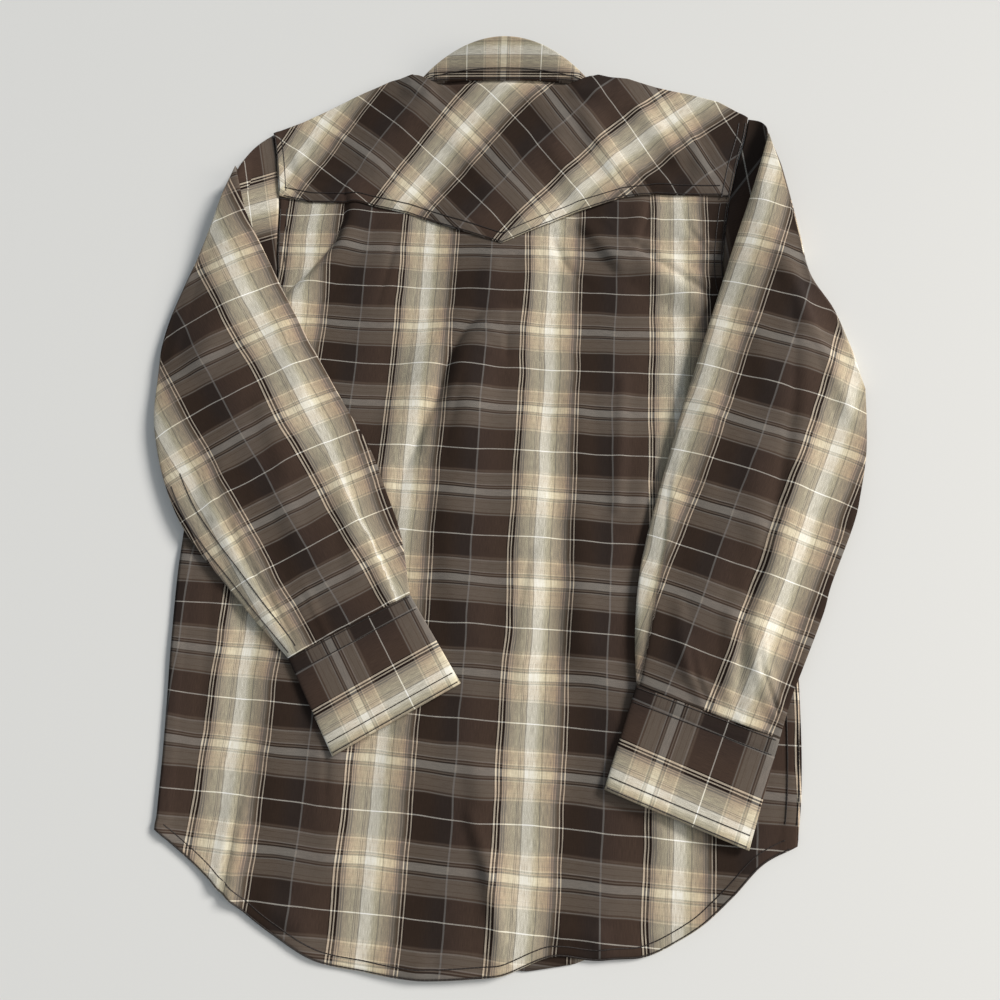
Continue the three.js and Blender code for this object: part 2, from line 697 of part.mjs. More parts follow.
function makeSleeve(side) {
  const { outward, folds } = SLEEVES[side];
  const rows = sleeveRows(side);
  return wall(RING_POINTS, rows.length, (i, j, face) => {
    const { fromArmhole, row, turn } = rows[j];
    const width = Math.hypot(row.overX - row.underX, row.overY - row.underY);
    const section = tubeSection(i / RING_POINTS, face, width, CLOTH);
    const share = section.across / width;
    const flat = placeOnRow(row, share, outward);
    const hole = armholePlace(side, share);
    const place = { x: mix(hole.x, flat.x, fromArmhole), y: mix(hole.y, flat.y, fromArmhole) };
    const fromFold = soft((j - ARMHOLE_SHARES.length - FOLD_STEPS) / SLEEVE_LOFT.rows);
    const fromCuff = soft((rows.length - 1 - j) / SLEEVE_LOFT.cuffRows);
    const fullness = SLEEVE_LOFT.plain + SLEEVE_LOFT.fold * ridgeHeight(folds, place.x, place.y);
    const loft = fromFold * mix(SLEEVE_LOFT.atCuff, 1, fromCuff) * fullness;
    return turnedPoint(place, section, turn, Math.min(loft, SLEEVE_LOFT.most), outward);
  }, true);
}

function cuffSnaps(side) {
  const { cuff } = SLEEVES[side];
  return CUFF_SNAPS_DOWN.map((down) => ({
    x: (mix(cuff.overX, cuff.endOverX, down) + mix(cuff.underX, cuff.endUnderX, down)) / 2,
    y: (mix(cuff.overY, cuff.endOverY, down) + mix(cuff.underY, cuff.endUnderY, down)) / 2,
  }));
}

function makeCuff(side) {
  const { cuff, outward } = SLEEVES[side];
  const downs = between([0, 1], [CUFF_ROWS]);
  const tube = wall(RING_POINTS, downs.length, (i, j, face) => {
    const row = {
      overX: mix(cuff.overX, cuff.endOverX, downs[j]),
      overY: mix(cuff.overY, cuff.endOverY, downs[j]),
      underX: mix(cuff.underX, cuff.endUnderX, downs[j]),
      underY: mix(cuff.underY, cuff.endUnderY, downs[j]),
      bow: 0,
    };
    const width = Math.hypot(row.overX - row.underX, row.overY - row.underY);
    const section = tubeSection(i / RING_POINTS, face, width, CUFF_CLOTH);
    const place = placeOnRow(row, section.across / width, outward);
    return turnedPoint(place, section, 1, CUFF_LOFT, outward);
  }, true);
  return cutSnapHoles(tube, cuffSnaps(side), CUFF_LOW_Z - CLOTH, CUFF_LOW_Z + CUFF_CLOTH + SEAM / 2);
}

// The neck loop, which rises in a dome at the back. angle 0 is centre back and 180 centre front,
// level 0 is the neck seam and 1 the roll line, and out is how far off the loop's inner face.
function neckSeamY(cosine) {
  return cosine >= 0 ? mix(NECK.sideY, NECK.backY, cosine) : mix(NECK.sideY, NECK.frontY, -cosine);
}
function rollY(cosine) {
  return cosine >= 0
    ? mix(ROLL.sideY, ROLL.backY, cosine * cosine)
    : mix(ROLL.sideY, ROLL.frontY, -cosine);
}
function loopPoint(angle, level, out) {
  const sine = Math.sin(radians(angle));
  const cosine = Math.cos(radians(angle));
  const backPart = Math.max(0, cosine);
  const dome = level * ROLL.backRise;
  const slope = NECK.flatten + 2 * dome * backPart;
  const normal = new THREE.Vector2(sine / NECK.halfWidth, cosine / slope).normalize();
  return [
    NECK.x + NECK.halfWidth * sine + normal.x * out,
    mix(neckSeamY(cosine), rollY(cosine), level),
    CLOTH + PLY + NECK.flatten * (1 + cosine) + dome * backPart ** 2 + normal.y * out,
  ];
}

function makeStand() {
  const levels = between([0, 1], [STAND_ROWS]);
  return wall(STAND_POINTS, levels.length, (i, j, side) => (
    loopPoint(360 * (i + 0.5) / STAND_POINTS, levels[j], side * CLOTH)
  ), true);
}

// The leaf lies over the stand from the roll line down. Its front half runs on past the seam, and
// lies under the fronts.
function makeLeaf() {
  const levels = between([-1, 0, 1], LEAF_ROWS);
  const limit = LEAF_EDGE[LEAF_EDGE.length - 1].angle;
  const angles = between([-limit, limit], [LEAF_STEPS]);
  return wall(angles.length, levels.length, (i, j, side) => {
    const turn = Math.abs(angles[i]);
    const out = PLY + side * CLOTH;
    const level = levels[j];
    const seamY = neckSeamY(Math.cos(radians(turn)));
    if (turn <= 90) {
      const toBack = soft((LEAF_DROP.endAngle - turn) / (LEAF_DROP.endAngle - LEAF_DROP.startAngle));
      const edgeY = mix(seamY + EDGE_SPACE, LEAF_BACK_Y, toBack);
      const edgeLevel = (edgeY - seamY) / (rollY(Math.cos(radians(turn))) - seamY);
      return loopPoint(angles[i], mix(edgeLevel, 1, (level + 1) / 2), out);
    }
    if (level >= 0) return loopPoint(angles[i], Math.max(level, LEAF_CLEAR_LEVEL), out);
    const seamX = Math.abs(loopPoint(turn, 0, out)[0] - NECK.x);
    const fromCentre = mix(seamX, readTable(LEAF_EDGE, 'angle', 'out', turn, false), -level);
    const x = NECK.x + Math.sign(angles[i]) * fromCentre;
    const y = mix(seamY, readTable(LEAF_EDGE, 'angle', 'y', turn, false), -level);
    return [x, y, frontHeight(x, y) - LEAF_SPACE - side * CLOTH];
  });
}

const shirt = new THREE.Group();
shirt.name = 'western_snap_shirt';

function add(name, geometry, color, roughness = CLOTH_ROUGHNESS) {
  const material = new THREE.MeshStandardMaterial({ color, roughness, metalness: 0 });
  const mesh = new THREE.Mesh(geometry, material);
  mesh.name = name;
  shirt.add(mesh);
}

add('front_left', makeLeftFront(), CLOTH_COLOUR);
add('front_right', makeRightFront(), CLOTH_COLOUR);
add('placket', makePlacket(), CUFF_COLOUR);
add('back', makeBack(), CLOTH_COLOUR);
add('yoke', makeYoke(), YOKE_COLOUR);
add('collar_stand', makeStand(), COLLAR_COLOUR);
add('collar_leaf', makeLeaf(), COLLAR_COLOUR);
for (const side of ['left', 'right']) {
  add(`sleeve_${side}`, makeSleeve(side), CLOTH_COLOUR);
  add(`cuff_${side}`, makeCuff(side), CUFF_COLOUR);
  cuffSnaps(side).forEach(({ x, y }, k) => {
    const snap = disc(SNAP_RADIUS, CUFF_LOW_Z, CUFF_LOW_Z + CLOTH, x, y);
    add(`cuff_${side}_snap_${k + 1}`, snap, PEARL_COLOUR, PEARL_ROUGHNESS);
  });
}
frontSnaps().forEach(({ x, y }, k) => {
  const lowZ = frontHeight(x, y);
  add(`snap_${k + 1}`, disc(SNAP_RADIUS, lowZ, lowZ + CLOTH, x, y), PEARL_COLOUR, PEARL_ROUGHNESS);
});

// The origin is under the middle of the shirt, on the surface that it lies on
const box = new THREE.Box3().setFromObject(shirt);
const middle = box.getCenter(new THREE.Vector3());
for (const mesh of shirt.children) mesh.geometry.translate(-middle.x, -middle.y, -box.min.z);

export default shirt;
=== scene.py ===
# %% [markdown]
# # A western snap shirt, laid flat
#
# A long-sleeved plaid shirt lies face down on a pale board, with both sleeves folded over its back.
# Every panel is a thin sheet of woven cotton, so the lesson is about sheets: a flat grid is laid
# over the checked solid, creased, given a thin wall, and dyed with a plaid that follows its yarns.

import bmesh
import bpy
import numpy as np
from mathutils import Euler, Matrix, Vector, noise


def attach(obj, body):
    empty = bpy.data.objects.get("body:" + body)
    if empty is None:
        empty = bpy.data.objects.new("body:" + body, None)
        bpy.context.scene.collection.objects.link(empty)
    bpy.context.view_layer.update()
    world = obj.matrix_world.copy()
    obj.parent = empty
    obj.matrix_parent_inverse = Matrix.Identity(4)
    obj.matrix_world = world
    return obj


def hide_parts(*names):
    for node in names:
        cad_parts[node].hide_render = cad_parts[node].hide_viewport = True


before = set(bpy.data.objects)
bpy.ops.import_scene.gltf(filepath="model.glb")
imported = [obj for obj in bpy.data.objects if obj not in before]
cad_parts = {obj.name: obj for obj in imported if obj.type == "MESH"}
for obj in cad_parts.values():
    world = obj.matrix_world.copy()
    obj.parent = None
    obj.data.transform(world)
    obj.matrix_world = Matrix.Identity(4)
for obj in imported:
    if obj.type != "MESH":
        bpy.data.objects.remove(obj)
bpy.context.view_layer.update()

# %% [markdown]
# ## Sizes
#
# The pattern is drawn in millimetres, with its middle near the middle of the back. Blender works in
# metres, so one helper moves and scales every point at the end. The layers are named as a tailor
# would stack them: one ply of cloth, the seam's space, and the step from panel to panel.

# %% Name the layers and write the small helpers
MM = 0.001
PATTERN_MIDDLE = np.array((-1.15, -4.95, 0.0))
CLOTH = 1.2
SEAM = 0.3
PLY = CLOTH + SEAM
PANEL_STEP = CLOTH + 0.6
LEAF_SPACE = 0.5
CUFF_CLOTH = 1.6
WALL = 0.5 * MM


def metres(points):
    return (np.stack(points, axis=-1) - PATTERN_MIDDLE) * MM


def clamp(value):
    return np.clip(value, 0.0, 1.0)


def soft(value):
    value = clamp(value)
    return value * value * (3 - 2 * value)


def mix(a, b, share):
    return a + (b - a) * share


def curve(rows, at):
    """Reads a table of (place, value) rows along a smooth line."""
    places, values = np.array(rows, float).T
    last = len(places) - 1
    at = np.asarray(at, float)
    low = np.clip(np.searchsorted(places, at, side="left") - 1, 0, last - 1)
    high = low + 1
    before, after = np.maximum(low - 1, 0), np.minimum(high + 1, last)
    step = places[high] - places[low]
    part = clamp((at - places[low]) / step)
    slope_low = step * (values[high] - values[before]) / (places[high] - places[before])
    slope_high = step * (values[after] - values[low]) / (places[after] - places[low])
    square, cube = part**2, part**3
    return (
        (2 * cube - 3 * square + 1) * values[low]
        + (cube - 2 * square + part) * slope_low
        + (3 * square - 2 * cube) * values[high]
        + (cube - square) * slope_high
    )


def straight(rows, at):
    places, values = np.array(rows, float).T
    return np.interp(at, places, values)


# %% [markdown]
# ## The cutting lines
#
# A shirt is drawn by its edges: the side seams and armholes, the shirt-tail hem, the yoke's lower
# edge with its point, and the shoulders. They are the same lines as the solids have, so each sheet
# covers the solid that it stands for.

# %% Draw the edges of the body
LEFT_EDGE = [
    (-300, -239), (-245, -243), (-140, -252), (-78, -254.5), (20, -257), (70, -258), (86, -240),
    (108, -221), (146, -207), (179, -210), (201, -212), (231, -215), (272, -223), (301, -230),
    (321, -236),
]
RIGHT_EDGE = [
    (-300, 237), (-245, 242.5), (-140, 241.5), (-78, 244), (20, 248), (70, 251), (86, 232),
    (108, 208), (146, 188), (179, 184), (201, 185), (231, 188), (272, 195), (301, 202),
    (321, 205),
]
HEM = [
    (-239, -311), (-204, -333), (-172, -355), (-139, -374), (-104, -389), (-64, -393), (-26, -394),
    (18, -388), (49, -382), (83, -374), (108, -368), (133, -364), (154, -353), (175, -338),
    (194, -319), (214, -297), (239, -282),
]
YOKE_EDGE = [
    (-216, 235), (-185, 229), (-140, 228), (-93, 218), (-52, 204), (-7, 190), (28, 208), (58, 223),
    (97, 238), (126, 242), (188, 242),
]
SHOULDERS = [
    (-231, 301), (-202, 314), (-156, 339), (-122, 354), (-101, 358.5), (-97, 356), (-96.5, 344),
    (64.5, 344), (65, 356), (69, 359), (97, 358), (123, 351), (153, 345), (179, 337), (205, 321),
]
SIDE_HEM_Y = (-311, -284)
SHOULDER_TIP_Y = (301, 321)
UNDERARM_Y = 70
YOKE_OVERLAP = 12
FRONT_HEM_INSET = 3
PLACKET_HALF = 19
NECK_X, NECK_HALF, NECK_HOLE_HALF = -16, 76, 80.5
NECK_BACK_Y, NECK_SIDE_Y, NECK_FRONT_Y = 352, 345, 268
NECK_FLATTEN = 4.5
LEAF_BACK_Y = 351
YOKE_BESIDE_NECK_Y = 357.5
HEM_LIFT, HEM_LIFT_X, HEM_LIFT_HALF = 7.5, 67, 38
CENTRE_LEAN = 16 / 650


def left_edge(y):
    return curve(LEFT_EDGE, y)


def right_edge(y):
    return curve(RIGHT_EDGE, y)


def hem_line(x):
    return curve(HEM, x)


def hem_lift(x):
    """Where the back's hem has rolled up and shows the front's hem below it."""
    return HEM_LIFT * soft(1 - np.abs(x - HEM_LIFT_X) / HEM_LIFT_HALF)


def back_hem(x):
    return hem_line(x) + hem_lift(x)


def yoke_line(x):
    return straight(YOKE_EDGE, x)


def centre_line(y):
    return -CENTRE_LEAN * (y + 300)


def neck_cosine(x, half):
    return np.sqrt(np.maximum(0, 1 - ((x - NECK_X) / half) ** 2))


def back_neck_line(x):
    up = np.sqrt(neck_cosine(x, NECK_HALF))
    hole = mix(NECK_SIDE_Y - 7, NECK_BACK_Y, up) - 4 * SEAM
    return np.where(np.abs(x - NECK_X) >= NECK_HOLE_HALF, straight(SHOULDERS, x), hole)


def yoke_neck_line(x):
    """The yoke runs straight under the collar's leaf, and up to the shoulder beside it."""
    beside = np.abs(x - NECK_X)
    under = mix(LEAF_BACK_Y + PLY, YOKE_BESIDE_NECK_Y, soft((beside - 66) / 16))
    return np.where(beside < 84, under, straight(SHOULDERS, x))


def front_neck_line(x):
    hole = mix(NECK_SIDE_Y, NECK_FRONT_Y, neck_cosine(x, NECK_HOLE_HALF)) - 2 * SEAM
    return np.where(np.abs(x - NECK_X) >= NECK_HOLE_HALF, straight(SHOULDERS, x), hole)


print("body", round(float(right_edge(0) - left_edge(0))), "mm across at its middle")

# %% [markdown]
# ## The height of each layer
#
# Cloth laid on cloth takes the height of what is under it. The fronts lie on the board, climb over
# the collar's points and rise to the neck. The back lies on them, and the yoke lies on the back.
# A height is a function of the place, so two layers can never cut through each other.

# %% Work out the heights
LEAF_SPAN, LEAF_LOWEST_Y, LEAF_CLIMB = 156, 138, 60
NECK_RISE, NECK_SPAN, NECK_CLIMB = 4.2, 180, 100
BACK_RISE_Y = 215


def front_height(x, y):
    from_neck = np.abs(x - NECK_X)
    over_leaf = soft((LEAF_SPAN - from_neck) / LEAF_CLIMB) * soft((y - LEAF_LOWEST_Y) / LEAF_CLIMB)
    up = (y - NECK_FRONT_Y) / (NECK_SIDE_Y - NECK_FRONT_Y)
    near_neck = soft((NECK_SPAN - from_neck) / NECK_CLIMB)
    to_neck = np.minimum(1, (up + np.sqrt(up**2 + 0.03)) / 2) * near_neck
    return (CLOTH + LEAF_SPACE) * over_leaf + NECK_RISE * to_neck


def underlap_height(x, y):
    past = x - centre_line(y) - PLACKET_HALF
    return front_height(x, y) + PLY * clamp((2.5 - past) / 2)


def back_height(x, y):
    rise = soft((y - BACK_RISE_Y) / (NECK_BACK_Y - BACK_RISE_Y))
    overlap = soft((60 - np.abs(x - centre_line(y))) / 35)
    swell = np.cos(np.pi / 2 * np.minimum(1, np.abs(x - NECK_X) / 100)) ** 2
    return front_height(x, y) + PANEL_STEP + PLY * overlap * (1 - rise) + NECK_FLATTEN * swell * rise


print("the back lies", round(float(back_height(0.0, 0.0)), 2), "mm up at its middle")

# %% [markdown]
# ## Ridges, folds and creases
#
# Pressed cotton keeps long soft ridges, and a few sharp valleys where a pleat opens. Sculpting by
# hand would work, but a short table is easier to compare with the real shirt and to correct. A ridge
# swells and dies out, with its own width on each side. A fold is a step of cloth over cloth along a
# path. A crease is a valley along a path, with cloth that rises beside it on both sides.

# %% Write the three kinds of relief
def ridges(rows, x, y):
    """Rows: start x, start y, end x, end y, width on the left of the way, width on the right, rise."""
    height = np.zeros_like(x)
    for x1, y1, x2, y2, left, right, rise in rows:
        dx, dy = x2 - x1, y2 - y1
        length = np.hypot(dx, dy)
        along = ((x - x1) * dx + (y - y1) * dy) / length
        aside = (dx * (y - y1) - dy * (x - x1)) / length
        width = np.where(aside > 0, left, right)
        reach = max(left, right)
        ends = soft(along / reach + 0.5) * soft((length - along) / reach + 0.5)
        height += rise * ends * soft(1 - np.abs(aside) / width)
    return height


def path_place(path, x, y):
    """Signed distance to a path, positive on the left of its way, and how far along it, in rows."""
    near = np.full(x.shape, 1e9)
    side = np.zeros(x.shape)
    along = np.zeros(x.shape)
    for k in range(len(path) - 1):
        (x1, y1), (x2, y2) = path[k][:2], path[k + 1][:2]
        dx, dy = x2 - x1, y2 - y1
        part = clamp(((x - x1) * dx + (y - y1) * dy) / (dx * dx + dy * dy))
        gap = np.hypot(x - x1 - part * dx, y - y1 - part * dy)
        closer = gap < near
        sign = np.where(dx * (y - y1) - dy * (x - x1) > 0, 1, -1)
        near = np.where(closer, gap, near)
        side = np.where(closer, sign, side)
        along = np.where(closer, k + part, along)
    return near * side, along


def rises(path, along):
    """The rises on the left and the right of a path, at each place along it."""
    steps = np.arange(len(path))
    return [np.interp(along, steps, [row[column] for row in path]) for column in (2, 3)]


def fold(path, width, x, y):
    """A step along a path of rows (x, y, rise on its left, rise on its right)."""
    distance, along = path_place(path, x, y)
    left, right = rises(path, along)
    on_left = soft((distance + 1) / 2)
    height = on_left * left * soft(1 - distance / width)
    return height + (1 - on_left) * right * soft(1 + distance / width)


def creases(rows, x, y):
    """Each crease: a path of such rows, and how wide the cloth beside it rises, left and right."""
    height = np.zeros_like(x)
    for path, *widths in rows:
        distance, along = path_place(path, x, y)
        for way, rise, width in zip((1, -1), rises(path, along), widths):
            part = np.maximum(distance * way, 0) / width
            height += rise * (1 - (1 - clamp(part / 0.3)) ** 2) * soft((1 - part) / 0.7)
    return height


def ripple(x, y, rows):
    """Faint unevenness. Rows: wave length across, wave length up, turn in degrees, rise, seed."""
    height = np.zeros_like(x)
    flat_x, flat_y = x.ravel(), y.ravel()
    for across, up, turn, rise, seed in rows:
        cosine, sine = np.cos(np.radians(turn)), np.sin(np.radians(turn))
        u = (flat_x * cosine + flat_y * sine) / across
        v = (flat_y * cosine - flat_x * sine) / up
        values = [noise.noise((a, b, seed)) for a, b in zip(u, v)]
        height += rise * np.reshape(values, x.shape)
    return height


sample = ridges([(0, 0, 50, 0, 9, 9, 2.0)], np.array([25.0]), np.array([4.5]))
print("a ridge of 2 mm, halfway down its side, stands", round(float(sample[0]), 2), "mm")

# %% [markdown]
# ## The creases of the back
#
# They were read off the real shirt from the yoke down. Two pleats open under the yoke, one deep
# crease runs down from the middle, and the hem lifts in short waves. All rows are in pattern
# millimetres, and the way that a path is walked decides which side is its left.

# %% List the creases of the back
LEFT_PLEAT = [
    (-152, 234, 2.5, 0.4), (-151, 212, 5.4, 0.4), (-156, 190, 7.2, 0.4), (-176, 161, 6.6, 0.4),
    (-194, 141, 4.0, 0.4), (-212, 118, 1.0, 0.2),
]
RIGHT_PLEAT = [
    (96, 206, 0.2, 1.0), (106, 196, 0.8, 2.6), (128, 179, 1.4, 4.2), (160, 158, 1.8, 4.6),
    (176, 146, 1.4, 3.6), (188, 138, 0.6, 1.6),
]
MAIN_CREASE = [
    (30, 118, 0.4, 0.2), (14, 131, 1.2, 0.8), (-3, 134, 2.2, 1.2), (-20, 125, 3.4, 1.8),
    (-34, 107, 6.2, 3.2), (-42, 90, 8.0, 4.6), (-46, 74, 8.4, 5.4), (-50, 51, 7.2, 5.4),
    (-58, 27, 5.0, 4.4), (-66, 4, 3.4, 3.6), (-74, -18, 1.6, 2.4), (-80, -50, 0.8, 1.4),
    (-84, -84, 0.2, 0.2),
]
BACK_CREASES = [
    (LEFT_PLEAT, 30, 20),
    (RIGHT_PLEAT, 16, 34),
    (MAIN_CREASE, 54, 46),
    (
        [
            (-28, 70, 0.3, 0.1), (-31, 58, 1.6, 0.3), (-36, 34, 2.4, 0.4), (-40, 9, 1.8, 0.3),
            (-42, -8, 0.3, 0.1),
        ],
        34, 14,
    ),
    ([(-59, 46, 0.2, 0.1), (-61, 34, 1.5, 0.4), (-64, 8, 1.3, 0.3), (-66, -4, 0.1, 0.1)], 16, 10),
    (
        [(-172, -250, 0.2, 0.2), (-176, -290, 1.8, 1.0), (-178, -330, 2.6, 1.6), (-178, -352, 2.6, 1.8)],
        20, 14,
    ),
    ([(121, 246, 0.6, 0.6), (120, 222, 1.6, 2.6), (115, 200, 0.4, 1.4)], 14, 22),
    ([(34, 214, 0.3, 0.3), (40, 190, 1.4, 1.0), (52, 168, 1.6, 0.8), (74, 150, 0.4, 0.2)], 24, 18),
    ([(150, 226, 0.3, 0.3), (158, 204, 1.6, 1.2), (172, 190, 1.2, 0.8)], 12, 16),
    ([(40, -60, 0.2, 0.2), (30, -110, 1.6, 1.0), (26, -160, 1.4, 1.0), (30, -200, 0.2, 0.2)], 26, 20),
    ([(-120, -196, 0.2, 0.2), (-112, -240, 1.4, 1.0), (-108, -290, 0.4, 0.4)], 24, 18),
    ([(140, 20, 0.2, 0.2), (128, -30, 1.4, 1.6), (120, -84, 0.4, 0.4)], 16, 22),
    ([(-96, 206, 0.4, 0.4), (-104, 176, 1.2, 1.0), (-112, 130, 0.6, 0.6)], 18, 22),
]
BACK_RIDGES = [
    (62, 214, 100, 168, 15, 9, 2.6),
    (-10, 176, -22, 150, 14, 12, 1.4),
    (24, 190, 10, 60, 24, 18, 1.6),
    (103, 72, 103, -46, 9, 9, 1.6),
    (0, -276, 22, -322, 9, 9, 1.6),
    (18, -312, 31, -366, 9, 9, 1.9),
    (-14, 60, -30, -60, 30, 16, 1.6),
    (66, 60, 72, -20, 16, 30, 2.0),
    (72, -36, 80, -160, 22, 22, 3.4),
    (30, 30, 52, -100, 16, 30, 1.8),
    (-40, -30, -16, -150, 30, 18, 1.8),
    (98, -60, 88, -180, 20, 30, 1.6),
    (-170, -150, -146, -300, 34, 22, 1.8),
    (-112, -190, -96, -330, 22, 30, 1.9),
    (-50, -200, -66, -350, 30, 18, 1.8),
    (4, -240, 26, -350, 24, 16, 2.2),
    (66, -190, 52, -330, 18, 26, 1.7),
    (112, -200, 150, -300, 26, 18, 2.2),
    (190, -130, 208, -250, 12, 18, 1.8),
    (150, -250, 212, -226, 16, 18, 1.6),
    (-214, -110, -206, -230, 16, 12, 1.5),
    (168, -200, 230, -178, 10, 12, 1.2),
]
HEM_WAVES = [
    (26, -376, 62, -362, 14, 16, 2.2),
    (66, -356, 104, -352, 12, 16, 3.4),
    (100, -362, 132, -352, 12, 14, 1.8),
    (136, -352, 170, -330, 14, 16, 1.6),
    (-150, -352, -110, -372, 16, 14, 1.6),
    (-60, -384, -20, -384, 16, 14, 1.4),
]
BACK_RIPPLE = [(46, 90, 8, 1.1, 3.1), (17, 34, -12, 0.3, 7.7), (80, 60, 30, 1.2, 1.3)]
SEAM_BAND = 7.0
SIDE_BAND = 11.0
HEM_ROLL = 7.0


def seam_swell(distance, width=SEAM_BAND, rise=0.45):
    """A folded and stitched edge is thicker than the cloth beside it."""
    return rise * soft((width - distance) / 1.4) * (0.55 + 0.45 * soft(distance / 1.2))


def hem_distance(x, y):
    slope = (back_hem(x + 1) - back_hem(x - 1)) / 2
    return (y - back_hem(x)) / np.hypot(1, slope)


def back_top(x, y):
    height = back_height(x, y) + CLOTH + creases(BACK_CREASES, x, y) + ridges(BACK_RIDGES, x, y)
    height += ridges(HEM_WAVES, x, y) + ripple(x, y, BACK_RIPPLE)
    armhole = soft((y - UNDERARM_Y) / 12)
    for inward in (x - left_edge(y), right_edge(y) - x):
        height += mix(seam_swell(inward, SIDE_BAND, 0.7), seam_swell(inward), armhole)
    return height + seam_swell(hem_distance(x, y), HEM_ROLL, 0.6)


print(len(BACK_CREASES), "creases,", len(BACK_RIDGES), "ridges and", len(HEM_WAVES), "hem waves")


# %% [markdown]
# ## A panel as a grid
#
# A flat panel begins as a plain grid from bmesh, because a grid gives even quads and a natural warp
# and weft. Each point is then moved to its place between the panel's edges. The cloth coordinates,
# in millimetres along the weft and the warp, are stored as a UV map for the plaid.

# %% Write the panel maker
REPEAT_WARP = 114.3
REPEAT_WEFT = 72.3
LINED_WALL = 0.9 * MM
made = {}


def show(name, data):
    """Puts finished data into the scene, on an object that stays at the origin."""
    piece = bpy.data.objects.new(name, data)
    bpy.context.scene.collection.objects.link(piece)
    return piece


def sheet_object(name, columns, rows, place, ring=False, wall=WALL):
    """A grid whose points and cloth coordinates come from place(across, up), both from 0 to 1."""
    bm = bmesh.new()
    bmesh.ops.create_grid(bm, x_segments=columns, y_segments=rows, size=0.5)
    mesh = bpy.data.meshes.new(name)
    bm.to_mesh(mesh)
    bm.free()
    corners = np.empty(len(mesh.vertices) * 3)
    mesh.vertices.foreach_get("co", corners)
    corners = corners.reshape(-1, 3) + 0.5
    points, cloth = place(corners[:, 0], corners[:, 1])
    mesh.vertices.foreach_set("co", metres(points).ravel())
    loops = np.empty(len(mesh.loops), int)
    mesh.loops.foreach_get("vertex_index", loops)
    uv = np.stack((cloth[0] / REPEAT_WARP, cloth[1] / REPEAT_WEFT), axis=-1)
    layer = mesh.uv_layers.new(name="cloth")
    layer.uv.foreach_set("vector", uv[loops].ravel())
    if ring:
        bm = bmesh.new()
        bm.from_mesh(mesh)
        bmesh.ops.remove_doubles(bm, verts=bm.verts, dist=1e-6)
        bmesh.ops.recalc_face_normals(bm, faces=bm.faces)
        bm.to_mesh(mesh)
        bm.free()
    mesh.polygons.foreach_set("use_smooth", np.ones(len(mesh.polygons), bool))
    mesh.update()
    piece = show(name, mesh)
    shell = piece.modifiers.new("wall", "SOLIDIFY")
    shell.thickness = wall
    shell.offset = -1
    shell.use_rim = True
    made[name] = piece
    print(name, len(mesh.polygons), "quads")
    return piece


def lay(terms, x, y):
    """How the plaid lies: constant, x, y, x squared, x times y, y squared, in hundreds of mm."""
    x, y = x / 100, y / 100
    one, along_x, along_y, xx, xy, yy = terms
    return one + along_x * x + along_y * y + xx * x * x + xy * x * y + yy * y * y


def panel_place(left_rows, right_rows, left_of, right_of, bottom, top, reach, height, cloth):
    """Rows run from side to side, and bend towards the bottom and top lines near them."""

    def place(across, up):
        left_level = mix(left_rows[0], left_rows[1], up)
        right_level = mix(right_rows[0], right_rows[1], up)
        x = mix(left_of(left_level), right_of(right_level), across)
        level = mix(left_level, right_level, across)
        lowest = mix(left_rows[0], right_rows[0], across)
        highest = mix(left_rows[1], right_rows[1], across)
        to_bottom = soft(1 - (level - lowest) / reach[0])
        to_top = soft(1 - (highest - level) / reach[1])
        y = level + (bottom(x) - lowest) * to_bottom + (top(x) - highest) * to_top
        return (x, y, height(x, y)), cloth(x, y)

    return place


print("walls of", round(WALL / MM, 1), "mm, and", round(LINED_WALL / MM, 1), "mm where lined")

# %% [markdown]
# ## The back
#
# The back is cut in one, with two pleats under the yoke. Its plaid runs straight up, and turns a
# little towards the hem. Left of the left pleat, the cloth that the pleat hides moves the stripes.

# %% Lay the back
BODY_U = (-16.58, 102.67, 1.04, 1.14, 0.69, 0.15)
BODY_V = (-147.39, 0.71, 100.68, -0.27, -0.13, -0.01)
PLEAT_HIDES = 4.5
YOKE_SIDE_Y = (235, 242)


def wavy(x, y, seed):
    """Cloth never lies quite square, so its yarns wander by about a millimetre."""
    return ripple(x, y, [(52, 44, 10, 1.7, seed), (21, 18, -20, 0.6, seed + 5)])


def body_cloth(x, y):
    distance, _ = path_place(LEFT_PLEAT, x, y)
    hidden = 1 - soft((distance + 0.8) / 1.6)
    near = soft((y - 60) / 30) * soft((-90 - x) / 20)
    u = lay(BODY_U, x, y) - PLEAT_HIDES * hidden * near - 0.7 + wavy(x, y, 2.5)
    v = lay(BODY_V, x, y) + 3 * hidden * near + wavy(x, y, 9.5)
    return u, v


sheet_object(
    "back_cloth", 184, 226,
    panel_place(
        (SIDE_HEM_Y[0], YOKE_SIDE_Y[0] + YOKE_OVERLAP), (SIDE_HEM_Y[1], YOKE_SIDE_Y[1] + YOKE_OVERLAP),
        left_edge, right_edge, back_hem, lambda x: yoke_line(x) + YOKE_OVERLAP, (230, 90),
        back_top, body_cloth,
    ),
)

# %% [markdown]
# ## The yoke
#
# The yoke lies on top of the back and comes down to a point. It is cut on the bias, so its plaid runs
# slantwise, and its turned-under lower edge swells between two rows of stitching.

